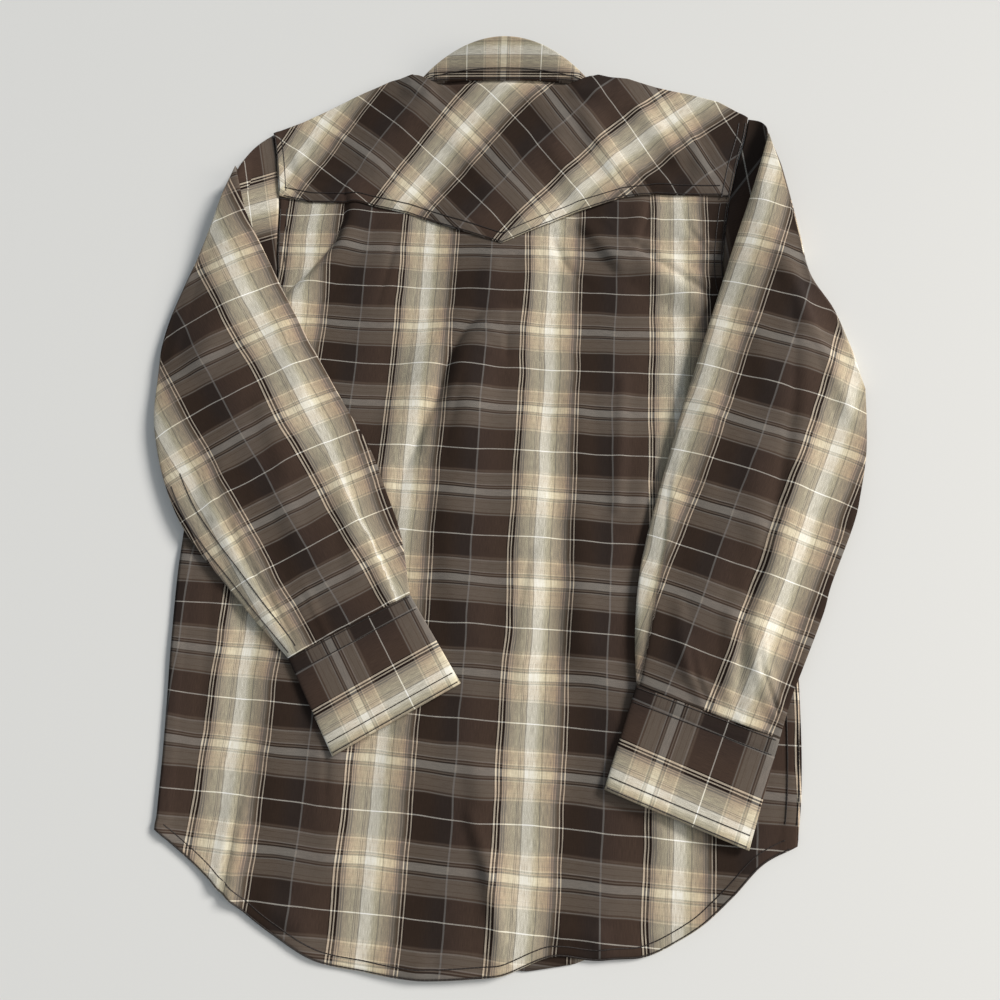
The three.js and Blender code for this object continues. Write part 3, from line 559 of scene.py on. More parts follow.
# %% Lay the yoke
YOKE_U = (240.27, 87.65, -59.56, -4.4, -5.47, 0.12)
YOKE_V = (-78.19, 95.45, 81.74, 4.03, -8.79, -3.13)
YOKE_RIDGES = [
    (-120, 262, -170, 300, 16, 12, 1.2),
    (-196, 250, -206, 286, 9, 12, 1.3),
    (-60, 300, -20, 240, 18, 14, 1.2),
    (58, 322, 92, 262, 20, 12, 2.6),
    (30, 290, 62, 236, 20, 14, 2.0),
    (104, 330, 150, 276, 14, 18, 2.2),
    (148, 316, 168, 262, 10, 14, 2.2),
    (96, 268, 140, 250, 12, 10, 1.4),
    (10, 340, 44, 300, 14, 16, 1.2),
    (-80, 336, -110, 306, 12, 14, 1.2),
    (-150, 250, -186, 262, 10, 12, 1.0),
]
YOKE_RIPPLE = [(40, 60, 40, 0.8, 5.9), (15, 26, -20, 0.25, 2.2)]


def yoke_top(x, y):
    edge = yoke_line(x)
    slope = (yoke_line(x + 3) - yoke_line(x - 3)) / 6
    distance = (y - edge) / np.hypot(1, slope)
    past_back = soft((y - edge - YOKE_OVERLAP - 2 * CLOTH) / 18)
    under = creases(BACK_CREASES, x, y) * soft(1 - distance / 34)
    beside = np.abs(x - NECK_X)
    height = back_height(x, y) + CLOTH + under
    height += 2.4 * soft((beside - 57) / 13) * soft((100 - beside) / 16) * soft((y - 332) / 12)
    height -= 1.4 * soft((y - 346) / 4) * soft((62 - beside) / 10)
    lifted = mix(0.85, PANEL_STEP, soft(distance / 12)) * (1 - past_back) + 0.9 * past_back
    height += lifted + seam_swell(distance, 8.5, 0.35)
    height += ridges(YOKE_RIDGES, x, y) + ripple(x, y, YOKE_RIPPLE)
    return height + seam_swell(x - left_edge(y)) + seam_swell(right_edge(y) - x)


def yoke_cloth(x, y):
    return lay(YOKE_U, x, y) + wavy(x, y, 4.5), lay(YOKE_V, x, y) + wavy(x, y, 7.5)


sheet_object(
    "yoke_cloth", 216, 72,
    panel_place(
        (YOKE_SIDE_Y[0], SHOULDER_TIP_Y[0]), (YOKE_SIDE_Y[1], SHOULDER_TIP_Y[1]),
        left_edge, right_edge, yoke_line, yoke_neck_line, (70, 70), yoke_top, yoke_cloth,
    ),
)

# %% [markdown]
# ## The fronts and the placket
#
# The shirt lies on its front, so these stay plain: two panels, and the band that the snaps close.
# They are coarser grids, because nobody sees a crease in them.

# %% Lay the fronts and the placket
def front_cloth(x, y):
    return -lay(BODY_U, x, y), lay(BODY_V, x, y)


def front_hem(x):
    return hem_line(x) + FRONT_HEM_INSET * soft(1 - hem_lift(x) / 5)


def front_place(left_rows, right_rows, left_of, right_of, height, reach=(230, 110)):
    return panel_place(
        left_rows, right_rows, left_of, right_of, front_hem, front_neck_line, reach,
        lambda x, y: height(x, y) + CLOTH, front_cloth,
    )


def placket_levels(x):
    return float(front_hem(np.array(x))), float(front_neck_line(np.array(x)))


hem_left, hem_right = (level + FRONT_HEM_INSET for level in SIDE_HEM_Y)
EDGE = PLACKET_HALF + SEAM
sheet_object(
    "front_left_cloth", 72, 150,
    front_place(
        (hem_left, SHOULDER_TIP_Y[0]), placket_levels(NECK_X - EDGE), left_edge,
        lambda y: centre_line(y) - EDGE, front_height,
    ),
)
sheet_object(
    "front_right_cloth", 84, 150,
    front_place(
        placket_levels(NECK_X - PLACKET_HALF), (hem_right, SHOULDER_TIP_Y[1]),
        lambda y: centre_line(y) - PLACKET_HALF, right_edge, underlap_height,
    ),
)
sheet_object(
    "placket_cloth", 14, 220,
    front_place(
        placket_levels(NECK_X), placket_levels(NECK_X), lambda y: centre_line(y) - PLACKET_HALF,
        lambda y: centre_line(y) + PLACKET_HALF, front_height, (100, 30),
    ),
)

# %% [markdown]
# ## The sleeves
#
# A sleeve is a tube. Pressed flat it has two plies, and here it lies on the board at the armhole,
# turns over at the fold, and comes back across the body. The grid is wrapped round the flattened
# tube, then each section is turned about the fold, so no ply is cut or stretched. Above the fold the
# sleeve stands puffed. That lift goes straight towards the eye of the camera, so that it shows as
# shade and shadow, and the outline and the plaid keep their places in the picture.

# %% Set out the sleeves
EYE = (62.4, -171.5, 597.1)
FOLD_RADIUS = 4.1
FOLD_END, FOLD_END_SHARE = 0.15, 0.2
SLEEVE_LOFT = 4.6
TUCK_WIDTH = 16
ARMHOLE_ROWS, FOLD_ROWS = 0.14, 0.10
ARMHOLE_SPACE = 0.8
SLEEVES = {
    "left": {
        "outward": (-0.98, 0.2),
        "sections": [
            (-260, 264, -298, 52, 5), (-243, 217, -296, 22, 3), (-220, 177, -290, -4, 1),
            (-190, 127, -277, -38, 0), (-157, 76, -257, -73, 0), (-128, 33, -234, -99, 0),
            (-103, -3, -210, -122, 0), (-86, -38, -188, -143, 0), (-70, -74, -168, -161, 0),
        ],
        "cuff": (-58, -121, -150, -177, -12, -186, -106, -247),
        "u": (130.58, 73.91, 45.03, -1.34, -5.68, -3.91),
        "v": (-279.51, -42.6, 92.27, 1.66, 6.05, -0.78),
        "cap_u": (252.5, 25.7, -74.7, 0, 0, 0),
        "cap_v": (176.0, 96.6, 26.0, 0, 0, 0),
        "fold_edge": [(0, 0), (0.15, 0.5), (0.3, 0), (0.45, 1), (0.6, 3.5), (0.75, 5.5), (0.9, 3.5), (1, 0)],
        "cap_bulge": (-3.2, 2.5),
        "puff": 11.0,
        "puff_steps": 6.0,
        "tuck": [
            (-150, 22, 0, 0), (-137, -6, 0.7, 1.2), (-115, -45, 0.4, 2.0), (-95, -76, 0.2, 2.2),
            (-75, -112, 0, 2.0), (-66, -132, 0, 1.4),
        ],
        "tuck_hides": 15.0,
        "creases": [
            (
                [
                    (-240, -10, 0.3, 0.3), (-222, -58, 1.6, 1.8), (-196, -98, 2.2, 2.2),
                    (-168, -134, 2.2, 1.8), (-146, -164, 1.2, 1.0),
                ],
                22, 20,
            ),
            ([(-150, -112, 0.2, 0.2), (-136, -138, 1.8, 1.4), (-122, -160, 1.2, 1.0)], 9, 12),
        ],
        "ridges": [
            (-232, 140, -262, 60, 18, 24, 2.2),
            (-284, 150, -288, 70, 9, 14, 1.6),
            (-196, 110, -160, 30, 14, 20, 1.8),
            (-200, 40, -168, -30, 22, 16, 1.7),
            (-120, -40, -100, -110, 12, 14, 1.4),
            (-176, -40, -150, -90, 16, 14, 1.3),
        ],
    },
    "right": {
        "outward": (0.952, 0.307),
        "sections": [
            (222, 303, 296, 66, -7), (213, 266, 296, 38, -5), (204, 233, 294.5, 10, -2),
            (194, 199, 289.5, -20, 0), (182, 155, 283.5, -45, 0), (158, 67, 266, -92, 0),
            (146, 22, 259, -116, 0), (126, -63, 243, -158, 0), (120, -104, 236, -176, 0),
            (119, -143, 231, -192, 0),
        ],
        "cuff": (121, -178, 226, -209, 100, -254, 204, -287),
        "u": (-113.95, 96.09, -29.58, 0.06, -0.9, 1.18),
        "v": (-254.69, 17.37, 97.78, 2.17, -2.75, -1.41),
        # Painted shade: the right cap's plaid is laid so that its darkest warp and weft bands fill the whole
        # cap. The bands are the cloth's own, but this placement paints in the deep shade of the hollow
        # between the puffed fold and the cap.
        "cap_u": (66.0, 60.0, -40.0, 0, 0, 0),
        "cap_v": (-102.2, 70.0, 12.0, 0, 0, 0),
        "fold_edge": [
            (0, 0), (0.12, -2), (0.27, -5), (0.41, -8.5), (0.56, -12), (0.7, -4), (0.82, -2), (1, 0),
        ],
        "cap_bulge": (5.4, 4.6),
        "puff": 15.0,
        "puff_steps": 7.0,
        "tuck": [
            (150, 10, 0, 0), (143, -21, 1.3, 0.3), (141, -58, 1.8, 0.2), (139, -78, 1.8, 0.2),
            (131, -126, 1.7, 0.2), (125, -171, 1.2, 0), (122, -186, 0, 0),
        ],
        "tuck_hides": -13.0,
        "creases": [
            (
                [
                    (238, 150, 0.4, 0.2), (240, 100, 2.0, 0.6), (238, 50, 3.0, 0.8),
                    (228, -11, 4.0, 0.8), (213, -76, 4.8, 1.2),
                    (199, -123, 4.6, 1.4), (196, -164, 4.0, 1.4), (194, -190, 2.0, 0.6),
                ],
                34, 20,
            ),
            ([(208, -128, 0.2, 0.4), (212, -158, 1.8, 1.6), (224, -190, 1.6, 1.4)], 9, 12),
            ([(158, -140, 0.2, 0.2), (164, -166, 1.4, 1.6), (176, -192, 1.0, 1.0)], 9, 12),
        ],
        "ridges": [
            (232, 190, 258, 110, 16, 18, 2.0),
            (262, 110, 282, 40, 14, 12, 1.8),
            (206, 130, 222, 50, 22, 16, 1.6),
            (176, 60, 168, -30, 16, 20, 1.6),
            (214, 20, 204, -60, 20, 16, 1.6),
            (150, -110, 158, -170, 8, 12, 1.5),
            (190, -120, 190, -186, 10, 10, 1.2),
        ],
    },
}
SLEEVE_RIPPLE = [(34, 60, 24, 0.9, 8.8), (14, 26, -30, 0.28, 4.4)]
CAP_RIPPLE = [(30, 40, 0, 0.5, 6.1)]


def tube_section(share, width, cloth):
    """Across the flattened tube from the overarm edge, up through it, and whether it is ply one."""
    angle = 2 * np.pi * share
    across = width / 2 * (1 - np.cos(angle))
    bulge = np.sign(np.sin(angle)) * np.abs(np.sin(angle)) ** 0.35
    return across, CLOTH + SEAM / 2 - (SEAM / 2 + cloth) * bulge, np.maximum(0, np.sin(angle))


def turned(x, y, up, first, turn, loft, outward):
    """Turns a point of the flat tube over the fold, and lifts its upper ply by the loft."""
    raised = up - loft * first**0.8 * turn
    angle = np.pi * turn
    out = (FOLD_RADIUS - raised) * np.sin(angle)
    return x + outward[0] * out, y + outward[1] * out, FOLD_RADIUS - (FOLD_RADIUS - raised) * np.cos(angle)


def sleeve_table(side):
    """The sections from the fold to the cuff, as curves over the step from one to the next."""
    piece = SLEEVES[side]
    over, under, end = np.reshape(piece["cuff"][:6], (3, 2))
    gap = (end - over) / np.hypot(*(end - over)) * 0.2
    table = np.array(piece["sections"] + [(*(over - gap), *(under - gap), 0)], float)
    return [[(step, value) for step, value in enumerate(column)] for column in table.T]


def sleeve_place(side):
    piece = SLEEVES[side]
    outward = piece["outward"]
    table = sleeve_table(side)
    last = len(table[0]) - 1
    left = side == "left"
    edge_of, tip, away = (left_edge, SHOULDER_TIP_Y[0], -1) if left else (right_edge, SHOULDER_TIP_Y[1], 1)

    def place(share, up):
        reach = clamp(up / ARMHOLE_ROWS)
        turn = clamp((up - ARMHOLE_ROWS) / FOLD_ROWS)
        step = clamp((up - ARMHOLE_ROWS - FOLD_ROWS) / (1 - ARMHOLE_ROWS - FOLD_ROWS)) * last

        # The flat tube, from the armhole to the fold and on to the cuff.
        over_x, over_y, under_x, under_y, bow = (curve(column, step) for column in table)
        width = np.hypot(over_x - under_x, over_y - under_y)
        across, height, first = tube_section(share, width, CLOTH)
        part = across / width
        bulge = bow * np.sin(np.pi * part)
        bulge = mix(curve(piece["fold_edge"], part), bulge, soft(step / 1.6))
        flat_x = mix(over_x, under_x, part) + outward[0] * bulge
        flat_y = mix(over_y, under_y, part) + outward[1] * bulge
        hole_y = mix(tip, UNDERARM_Y, part)
        hole_x = edge_of(hole_y) + away * ARMHOLE_SPACE
        x, y = mix(hole_x, flat_x, reach), mix(hole_y, flat_y, reach)
        near_top = np.sin(np.pi * reach) * (1 - soft(part / 0.4))
        x, y = x + piece["cap_bulge"][0] * near_top, y + piece["cap_bulge"][1] * near_top

        # The turn over the fold, which rolls less at its two ends, and the puff above it.
        down = soft(step / 2.0)
        loft = SLEEVE_LOFT * down * mix(0.4, 1, soft((last - step) / 1.6))
        roll = mix(FOLD_END_SHARE, 1, soft(part / FOLD_END) * soft((1 - part) / FOLD_END))
        point = list(turned(x, y, height, first, turn, loft, (outward[0] * roll, outward[1] * roll)))
        puff = piece["puff"] * soft(reach) * (1 - soft(step / piece["puff_steps"])) * (1 - soft(part / 0.8))
        puff = puff * (0.8 + 0.2 * np.sin(2 * np.pi * share))
        for axis in range(3):
            point[axis] = point[axis] + puff * (EYE[axis] - point[axis]) / EYE[2]

        # Creases on the upper ply, and faint unevenness on the cap.
        upper = np.sin(2 * np.pi * share)
        on_top = soft(upper / 0.45) * turn
        relief = ridges(piece["ridges"], x, y) + fold(piece["tuck"], TUCK_WIDTH, x, y)
        relief = relief + creases(piece["creases"], x, y) + ripple(x, y, SLEEVE_RIPPLE)
        point[2] = point[2] + on_top * relief * mix(0.35, 1, down)
        cap_relief = ripple(x, y, CAP_RIPPLE) * (1 - turn) * (1 - on_top)
        point[2] = point[2] + cap_relief * soft(-upper / 0.45)

        # The plaid runs on round the tube's edge, jumps at the tuck, and turns on the cap.
        beyond = np.hypot(flat_x - hole_x, flat_y - hole_y) * (1 - reach) + np.pi * FOLD_RADIUS * (1 - turn)
        past = np.where(share > 0.5, 2 * (width - across), 0) / width
        far_x = x + (under_x - over_x) * past + outward[0] * beyond * 2
        far_y = y + (under_y - over_y) * past + outward[1] * beyond * 2
        distance, along = path_place(piece["tuck"], x, y)
        hidden = piece["tuck_hides"] * soft(along / 3.5) * soft((0.8 - away * distance) / 1.6) * turn
        u = lay(piece["u"], far_x, far_y) + wavy(x, y, 3.5) + hidden
        v = lay(piece["v"], far_x, far_y) + wavy(x, y, 6.5)
        cap = ((share > 0.5) & (turn < 0.5)) | ((share < 0.25) & (turn < 0.85))
        u = np.where(cap, lay(piece["cap_u"], x, y), u)
        v = np.where(cap, lay(piece["cap_v"], x, y), v)
        return point, (u, v)

    return place


for side in SLEEVES:
    sheet_object(f"sleeve_{side}_cloth", 132, 190, sleeve_place(side), ring=True)

# %% [markdown]
# ## The cuffs
#
# A cuff is a shorter, stiffer tube of two plies with a lining between them. Its cloth is turned, so
# the stripes that run up the body run round the wrist.

# %% Set out the cuffs
CUFF_LAYS = {
    "left": {"stripe": (-125.1, -216.4), "thread": (-89.6, -139.1), "along": (0.84, 0.543)},
    "right": {"stripe": (108.0, -218.5), "thread": (189.0, -197.4), "along": (0.949, -0.316)},
}
STRIPE_START = 1.9
CUFF_LOFT, CUFF_LENGTH = 1.6, 75
CUFF_RIPPLE = [(50, 50, 0, 0.5, 9.3)]


def cuff_place(side):
    corners = SLEEVES[side]["cuff"]
    outward = SLEEVES[side]["outward"]
    cloth = CUFF_LAYS[side]
    ax, ay = cloth["along"]

    def place(share, up):
        over_x, over_y = mix(corners[0], corners[4], up), mix(corners[1], corners[5], up)
        under_x, under_y = mix(corners[2], corners[6], up), mix(corners[3], corners[7], up)
        width = np.hypot(over_x - under_x, over_y - under_y)
        across, height, first = tube_section(share, width, CUFF_CLOTH)
        part = across / width
        x, y = mix(over_x, under_x, part), mix(over_y, under_y, part)
        point = list(turned(x, y, height, first, np.ones_like(x), CUFF_LOFT, outward))
        on_top = soft(np.sin(2 * np.pi * share) / 0.4)
        long = CUFF_LENGTH * up
        band = seam_swell(long, 10, 0.35) + seam_swell(CUFF_LENGTH - long, 8, 0.35)
        point[2] = point[2] + on_top * (band + ripple(x, y, CUFF_RIPPLE))
        past = np.where(share > 0.5, 2 * (width - across), 0) / width
        far_x, far_y = x + (under_x - over_x) * past, y + (under_y - over_y) * past
        u = STRIPE_START + (far_x - cloth["stripe"][0]) * ay - (far_y - cloth["stripe"][1]) * ax
        v = (far_x - cloth["thread"][0]) * ax + (far_y - cloth["thread"][1]) * ay
        return point, (u, v)

    return place


for side in SLEEVES:
    sheet_object(f"cuff_{side}_cloth", 120, 44, cuff_place(side), ring=True, wall=LINED_WALL)

# %% [markdown]
# ## The collar
#
# The stand is a band that rises from the neck seam, and the leaf turns down over it at the roll. At
# the back the neck loop stands up in a low dome. Both are grids wrapped along the loop, and the
# leaf's front half lies under the fronts.

# %% Set out the collar
ROLL_BACK_Y, ROLL_SIDE_Y, ROLL_FRONT_Y, ROLL_RISE = 384.5, 355, 300, 14.4
LEAF_EDGE = [
    (90, 78.5, 347), (105, 81, 320), (120, 88, 286), (135, 82, 246), (150, 62, 206),
    (162, 37, 236), (175, 9, 265),
]


def neck_seam_y(cosine):
    back = mix(NECK_SIDE_Y, NECK_BACK_Y, cosine)
    return np.where(cosine >= 0, back, mix(NECK_SIDE_Y, NECK_FRONT_Y, -cosine))


def roll_y(cosine):
    back = mix(ROLL_SIDE_Y, ROLL_BACK_Y, cosine * cosine)
    return np.where(cosine >= 0, back, mix(ROLL_SIDE_Y, ROLL_FRONT_Y, -cosine))


def loop_point(angle, level, out):
    sine, cosine = np.sin(np.radians(angle)), np.cos(np.radians(angle))
    back = np.maximum(0, cosine)
    dome = level * ROLL_RISE
    slope = NECK_FLATTEN + 2 * dome * back
    nx, nz = sine / NECK_HALF, cosine / slope
    length = np.hypot(nx, nz)
    x = NECK_X + NECK_HALF * sine + nx / length * out
    y = mix(neck_seam_y(cosine), roll_y(cosine), level)
    z = CLOTH + PLY + NECK_FLATTEN * (1 + cosine) + dome * back**2 + nz / length * out
    return x, y, z


angles = np.arange(-180, 181, 4.0)
loop = np.stack(loop_point(angles, np.full_like(angles, 0.4), PLY + CLOTH), axis=-1)
lengths = np.concatenate(([0], np.cumsum(np.linalg.norm(np.diff(loop, axis=0), axis=1))))
COLLAR_ROUND = list(zip(angles, lengths - lengths[len(lengths) // 2]))
COLLAR_CENTRE = REPEAT_WEFT / 2
COLLAR_LINE = -3.5
COLLAR_EASE, ROUND_EASE = 1.19, 1.06
print("collar loop", round(lengths[-1]), "mm")


def stand_place(share, up):
    angle = 360 * share
    around = (angle - 180) * NECK_HALF * np.pi / 180 * 0.7
    return loop_point(angle, up, CLOTH), (60 + 33 * up, around)


def leaf_place(share, up):
    angle = mix(-175.0, 175.0, share)
    turn = np.abs(angle)
    cosine = np.cos(np.radians(turn))
    seam = neck_seam_y(cosine)
    out = PLY + CLOTH
    level = up * 2 - 1
    edge = mix(seam + 0.5, LEAF_BACK_Y, soft((80 - turn) / 20))
    edge_level = (edge - seam) / (roll_y(cosine) - seam)
    plump = 0.7 * np.sin(np.pi * up) * soft((100 - turn) / 30)
    back = loop_point(angle, mix(edge_level, 1, up), out + plump)
    over = loop_point(angle, np.maximum(level, 0.02), out)
    seam_x = np.abs(loop_point(turn, 0.0, out)[0] - NECK_X)
    from_centre = mix(seam_x, straight([row[:2] for row in LEAF_EDGE], turn), -level)
    flat_x = NECK_X + np.sign(angle) * from_centre
    flat_y = mix(seam, straight([(row[0], row[2]) for row in LEAF_EDGE], turn), -level)
    flat = (flat_x, flat_y, front_height(flat_x, flat_y) - LEAF_SPACE - 0.2)
    is_back, is_over = turn <= 90, level >= 0
    points = [np.where(is_back, b, np.where(is_over, o, f)) for b, o, f in zip(back, over, flat)]
    around = curve(COLLAR_ROUND, angle)
    stands = ROLL_RISE * np.maximum(0, cosine) ** 2 * (1 - edge_level)
    tall = np.hypot(roll_y(cosine) - edge, stands)
    u = COLLAR_LINE + COLLAR_EASE * up * np.where(is_back, tall, 20)
    return points, (u, ROUND_EASE * around + COLLAR_CENTRE)


sheet_object("collar_stand_cloth", 180, 10, stand_place, ring=True, wall=LINED_WALL)
sheet_object("collar_leaf_cloth", 280, 32, leaf_place, wall=LINED_WALL)

# %% [markdown]
# ## The plaid
#
# The cloth is dyed in the yarn, so the pattern is two rows of stripes that cross. One colour ramp
# holds the wide shaded bands of a direction, a second holds its fine lines, and the weave mixes the
# two directions thread by thread. A painted image would be quicker, but it would blur in a close
# view. Places are in millimetres along one repeat, and a colour ramp holds 32 stops at most. The
# last table is a curve that deepens the darks and lifts the lights of the woven colour.

# %% Chart the stripes
CREAM = (0.63, 0.575, 0.495)
WHITE = (0.78, 0.76, 0.71)
NIGHT = (0.012, 0.007, 0.005)
BROWN = (0.080, 0.051, 0.037)
UMBER = (0.036, 0.022, 0.015)
COAL = (0.029, 0.021, 0.018)
WARP_BANDS = [
    (0.0, BROWN), (5.0, BROWN), (5.6, (0.50, 0.44, 0.36)), (9.0, (0.55, 0.50, 0.41)),
    (15.0, (0.62, 0.58, 0.48)), (20.4, (0.66, 0.62, 0.52)), (22.2, (0.84, 0.81, 0.73)),
    (29.0, (0.81, 0.78, 0.69)), (31.5, (0.69, 0.66, 0.56)), (35.0, (0.61, 0.57, 0.46)),
    (38.5, (0.56, 0.51, 0.41)), (43.0, (0.52, 0.46, 0.36)), (46.0, (0.38, 0.31, 0.23)),
    (49.0, (0.20, 0.14, 0.10)), (53.6, UMBER), (66.0, UMBER), (76.0, COAL), (82.5, COAL),
    (85.0, (0.058, 0.038, 0.030)), (94.0, (0.070, 0.045, 0.034)), (104.0, BROWN), (114.3, BROWN),
]
WARP_LINES = [
    (0.0, CREAM, 1), (0.9, NIGHT, 1), (2.5, CREAM, 1), (3.4, NIGHT, 1), (5.2, NIGHT, 0),
    (6.2, NIGHT, 0.35), (6.9, NIGHT, 0), (8.0, NIGHT, 0.3), (8.6, NIGHT, 0), (16.6, NIGHT, 0.3),
    (17.3, CREAM, 0.3), (18.1, NIGHT, 0.3), (18.7, CREAM, 0.3), (20.9, NIGHT, 0.3), (21.5, NIGHT, 0),
    (34.6, NIGHT, 0.25), (35.3, NIGHT, 0), (36.3, CREAM, 0.4), (37.2, CREAM, 0), (43.6, NIGHT, 0.2),
    (44.2, CREAM, 0.25), (45.0, NIGHT, 0.25), (46.0, CREAM, 0.4), (46.8, NIGHT, 0.3),
    (49.6, CREAM, 0.85), (50.5, NIGHT, 0.9), (52.4, CREAM, 0.85), (53.3, NIGHT, 0.8), (54.2, NIGHT, 0),
    (83.0, (0.30, 0.28, 0.26), 0.5), (84.2, COAL, 0), (113.2, NIGHT, 0.8),
]
DARK_WEFT = (0.022, 0.014, 0.011)
TAN_WEFT = (0.232, 0.172, 0.132)
PALE_WEFT = (0.46, 0.42, 0.365)
WEFT_BANDS = [
    (0.0, DARK_WEFT), (15.8, DARK_WEFT), (18.8, TAN_WEFT), (29.4, TAN_WEFT), (30.6, DARK_WEFT),
    (33.1, PALE_WEFT), (38.7, PALE_WEFT), (39.4, DARK_WEFT), (42.0, TAN_WEFT), (52.4, TAN_WEFT),
    (55.4, DARK_WEFT), (72.3, DARK_WEFT),
]
WEFT_LINES = [
    (0.0, WHITE, 0.9), (0.5, CREAM, 0), (16.5, CREAM, 0.35), (17.4, NIGHT, 0), (17.7, NIGHT, 0.6),
    (18.8, NIGHT, 0), (21.4, NIGHT, 0.3), (22.0, NIGHT, 0), (26.6, NIGHT, 0.3), (27.2, NIGHT, 0),
    (29.5, CREAM, 0.4), (30.3, NIGHT, 0.8), (31.4, TAN_WEFT, 1), (32.1, NIGHT, 0.8), (33.1, NIGHT, 0),
    (38.7, NIGHT, 0.8), (40.0, TAN_WEFT, 1), (40.7, NIGHT, 0.8), (41.8, CREAM, 0.4), (42.7, CREAM, 0),
    (45.0, NIGHT, 0.3), (45.6, NIGHT, 0), (49.0, NIGHT, 0.3), (49.6, NIGHT, 0), (51.4, CREAM, 0.35),
    (52.3, NIGHT, 0), (52.5, NIGHT, 0.6), (53.5, NIGHT, 0), (71.8, WHITE, 0.9),
]
DYE_CURVE = [
    (0.03, 0.030), (0.10, 0.095), (0.22, 0.165), (0.35, 0.30), (0.42, 0.42), (0.50, 0.58),
    (0.58, 0.74), (0.68, 0.87),
]
print("plaid of", len(WARP_LINES), "fine warp stops and", len(WEFT_LINES), "fine weft stops")

# %% [markdown]
# ## The plaid's material
#
# The two directions are built by one helper, so they differ only in their tables. Streaks of noise,
# drawn out along the yarns, make each yarn a little lighter or darker than the next. Two sine waves
# at the yarns' own spacing decide which yarn lies on top, and give the weave its slight relief.

# %% Build the plaid's material
def add_node(tree, kind, **settings):
    node = tree.nodes.new(kind)
    for key, value in settings.items():
        setattr(node, key, value)
    return node


def math_node(tree, operation, *values):
    node = add_node(tree, "ShaderNodeMath", operation=operation)
    for socket, value in zip(node.inputs, values):
        if isinstance(value, (int, float)):
            socket.default_value = value
        else:
            tree.links.new(value, socket)
    return node.outputs[0]


def ramp_node(tree, place, stops, repeat, blend):
    node = add_node(tree, "ShaderNodeValToRGB")
    node.color_ramp.interpolation = blend
    elements = node.color_ramp.elements
    while len(elements) < len(stops):
        elements.new(0.5)
    for element, stop in zip(elements, stops):
        element.position = stop[0] / repeat
    for element, stop in zip(elements, stops):
        element.color = (*stop[1], stop[2] if len(stop) > 2 else 1.0)
    tree.links.new(place, node.inputs[0])
    return node.outputs


def mix_colour(tree, share, first, second, blend="MIX"):
    node = add_node(tree, "ShaderNodeMix", data_type="RGBA", blend_type=blend)
    for socket, value in zip((node.inputs[0], node.inputs[6], node.inputs[7]), (share, first, second)):
        if isinstance(value, (int, float, tuple)):
            socket.default_value = value
        else:
            tree.links.new(value, socket)
    return node.outputs[2]


def noise_node(tree, vector, scale, detail=2.0):
    node = add_node(tree, "ShaderNodeTexNoise")
    node.inputs["Scale"].default_value = scale
    node.inputs["Detail"].default_value = detail
    tree.links.new(vector, node.inputs["Vector"])
    return node.outputs["Fac"]


def stripes(tree, place, repeat, bands, lines):
    share = math_node(tree, "FRACT", place)
    base = ramp_node(tree, share, bands, repeat, "LINEAR")
    fine = ramp_node(tree, share, lines, repeat, "CONSTANT")
    return mix_colour(tree, fine["Alpha"], base["Color"], fine["Color"])


def scaled(tree, vector, factors):
    node = add_node(tree, "ShaderNodeVectorMath", operation="MULTIPLY")
    node.inputs[1].default_value = factors
    tree.links.new(vector, node.inputs[0])
    return node.outputs[0]


def finish(name, **settings):
    """A new material with its node tree and its main shader, whose plain values are filled in."""
    material = bpy.data.materials.new(name)
    material.use_nodes = True
    shader = material.node_tree.nodes["Principled BSDF"]
    for key, value in settings.items():
        shader.inputs[key.replace("_", " ")].default_value = value
    return material, material.node_tree, shader


YARN = 0.42
YARNS_WARP, YARNS_WEFT = REPEAT_WARP / YARN, REPEAT_WEFT / YARN
WARP_SHARE, CROSSING_SHARE = 0.6, 0.3
STREAK, STREAK_LOWEST = 0.9, 0.55


def yarns(tree, cloth, place, repeat, bands, lines, stretch):
    colour = stripes(tree, place, repeat, bands, lines)
    streak = noise_node(tree, scaled(tree, cloth, stretch), 1.0)
    shade = math_node(tree, "MULTIPLY_ADD", streak, STREAK, STREAK_LOWEST)
    return mix_colour(tree, 1.0, colour, shade, "MULTIPLY")


def wave(tree, place, count):
    return math_node(tree, "SINE", math_node(tree, "MULTIPLY", place, np.pi * count))


def plaid_material(name):
    material, tree, shader = finish(
        name, Roughness=0.88, Specular_IOR_Level=0.08, Sheen_Weight=0.015, Sheen_Roughness=0.5
    )
    cloth = add_node(tree, "ShaderNodeUVMap", uv_map="cloth").outputs["UV"]
    split = add_node(tree, "ShaderNodeSeparateXYZ")
    tree.links.new(cloth, split.inputs[0])
    across, along = split.outputs["X"], split.outputs["Y"]
    warp = yarns(tree, cloth, across, REPEAT_WARP, WARP_BANDS, WARP_LINES, (YARNS_WARP, 9.0, 1.0))
    weft = yarns(tree, cloth, along, REPEAT_WEFT, WEFT_BANDS, WEFT_LINES, (14.0, YARNS_WEFT, 1.0))
    crossing = math_node(tree, "MULTIPLY", wave(tree, across, YARNS_WARP), wave(tree, along, YARNS_WEFT))
    on_top = math_node(tree, "MULTIPLY_ADD", crossing, CROSSING_SHARE, WARP_SHARE)
    on_top.node.use_clamp = True
    deepen = add_node(tree, "ShaderNodeRGBCurve")
    for mixed, seen in DYE_CURVE:
        deepen.mapping.curves[3].points.new(mixed, seen)
    deepen.mapping.update()
    tree.links.new(mix_colour(tree, on_top, weft, warp), deepen.inputs["Color"])
    tree.links.new(deepen.outputs["Color"], shader.inputs["Base Color"])
    bump = add_node(tree, "ShaderNodeBump")
    bump.inputs["Strength"].default_value = 0.35
    bump.inputs["Distance"].default_value = 0.12 * MM
    tree.links.new(math_node(tree, "ABSOLUTE", crossing), bump.inputs["Height"])
    tree.links.new(bump.outputs["Normal"], shader.inputs["Normal"])
    return material


plaid = plaid_material("yarn_dyed_plaid")
for piece in made.values():
    piece.data.materials.append(plaid)
print(len(plaid.node_tree.nodes), "nodes dye", len(made), "sheets")

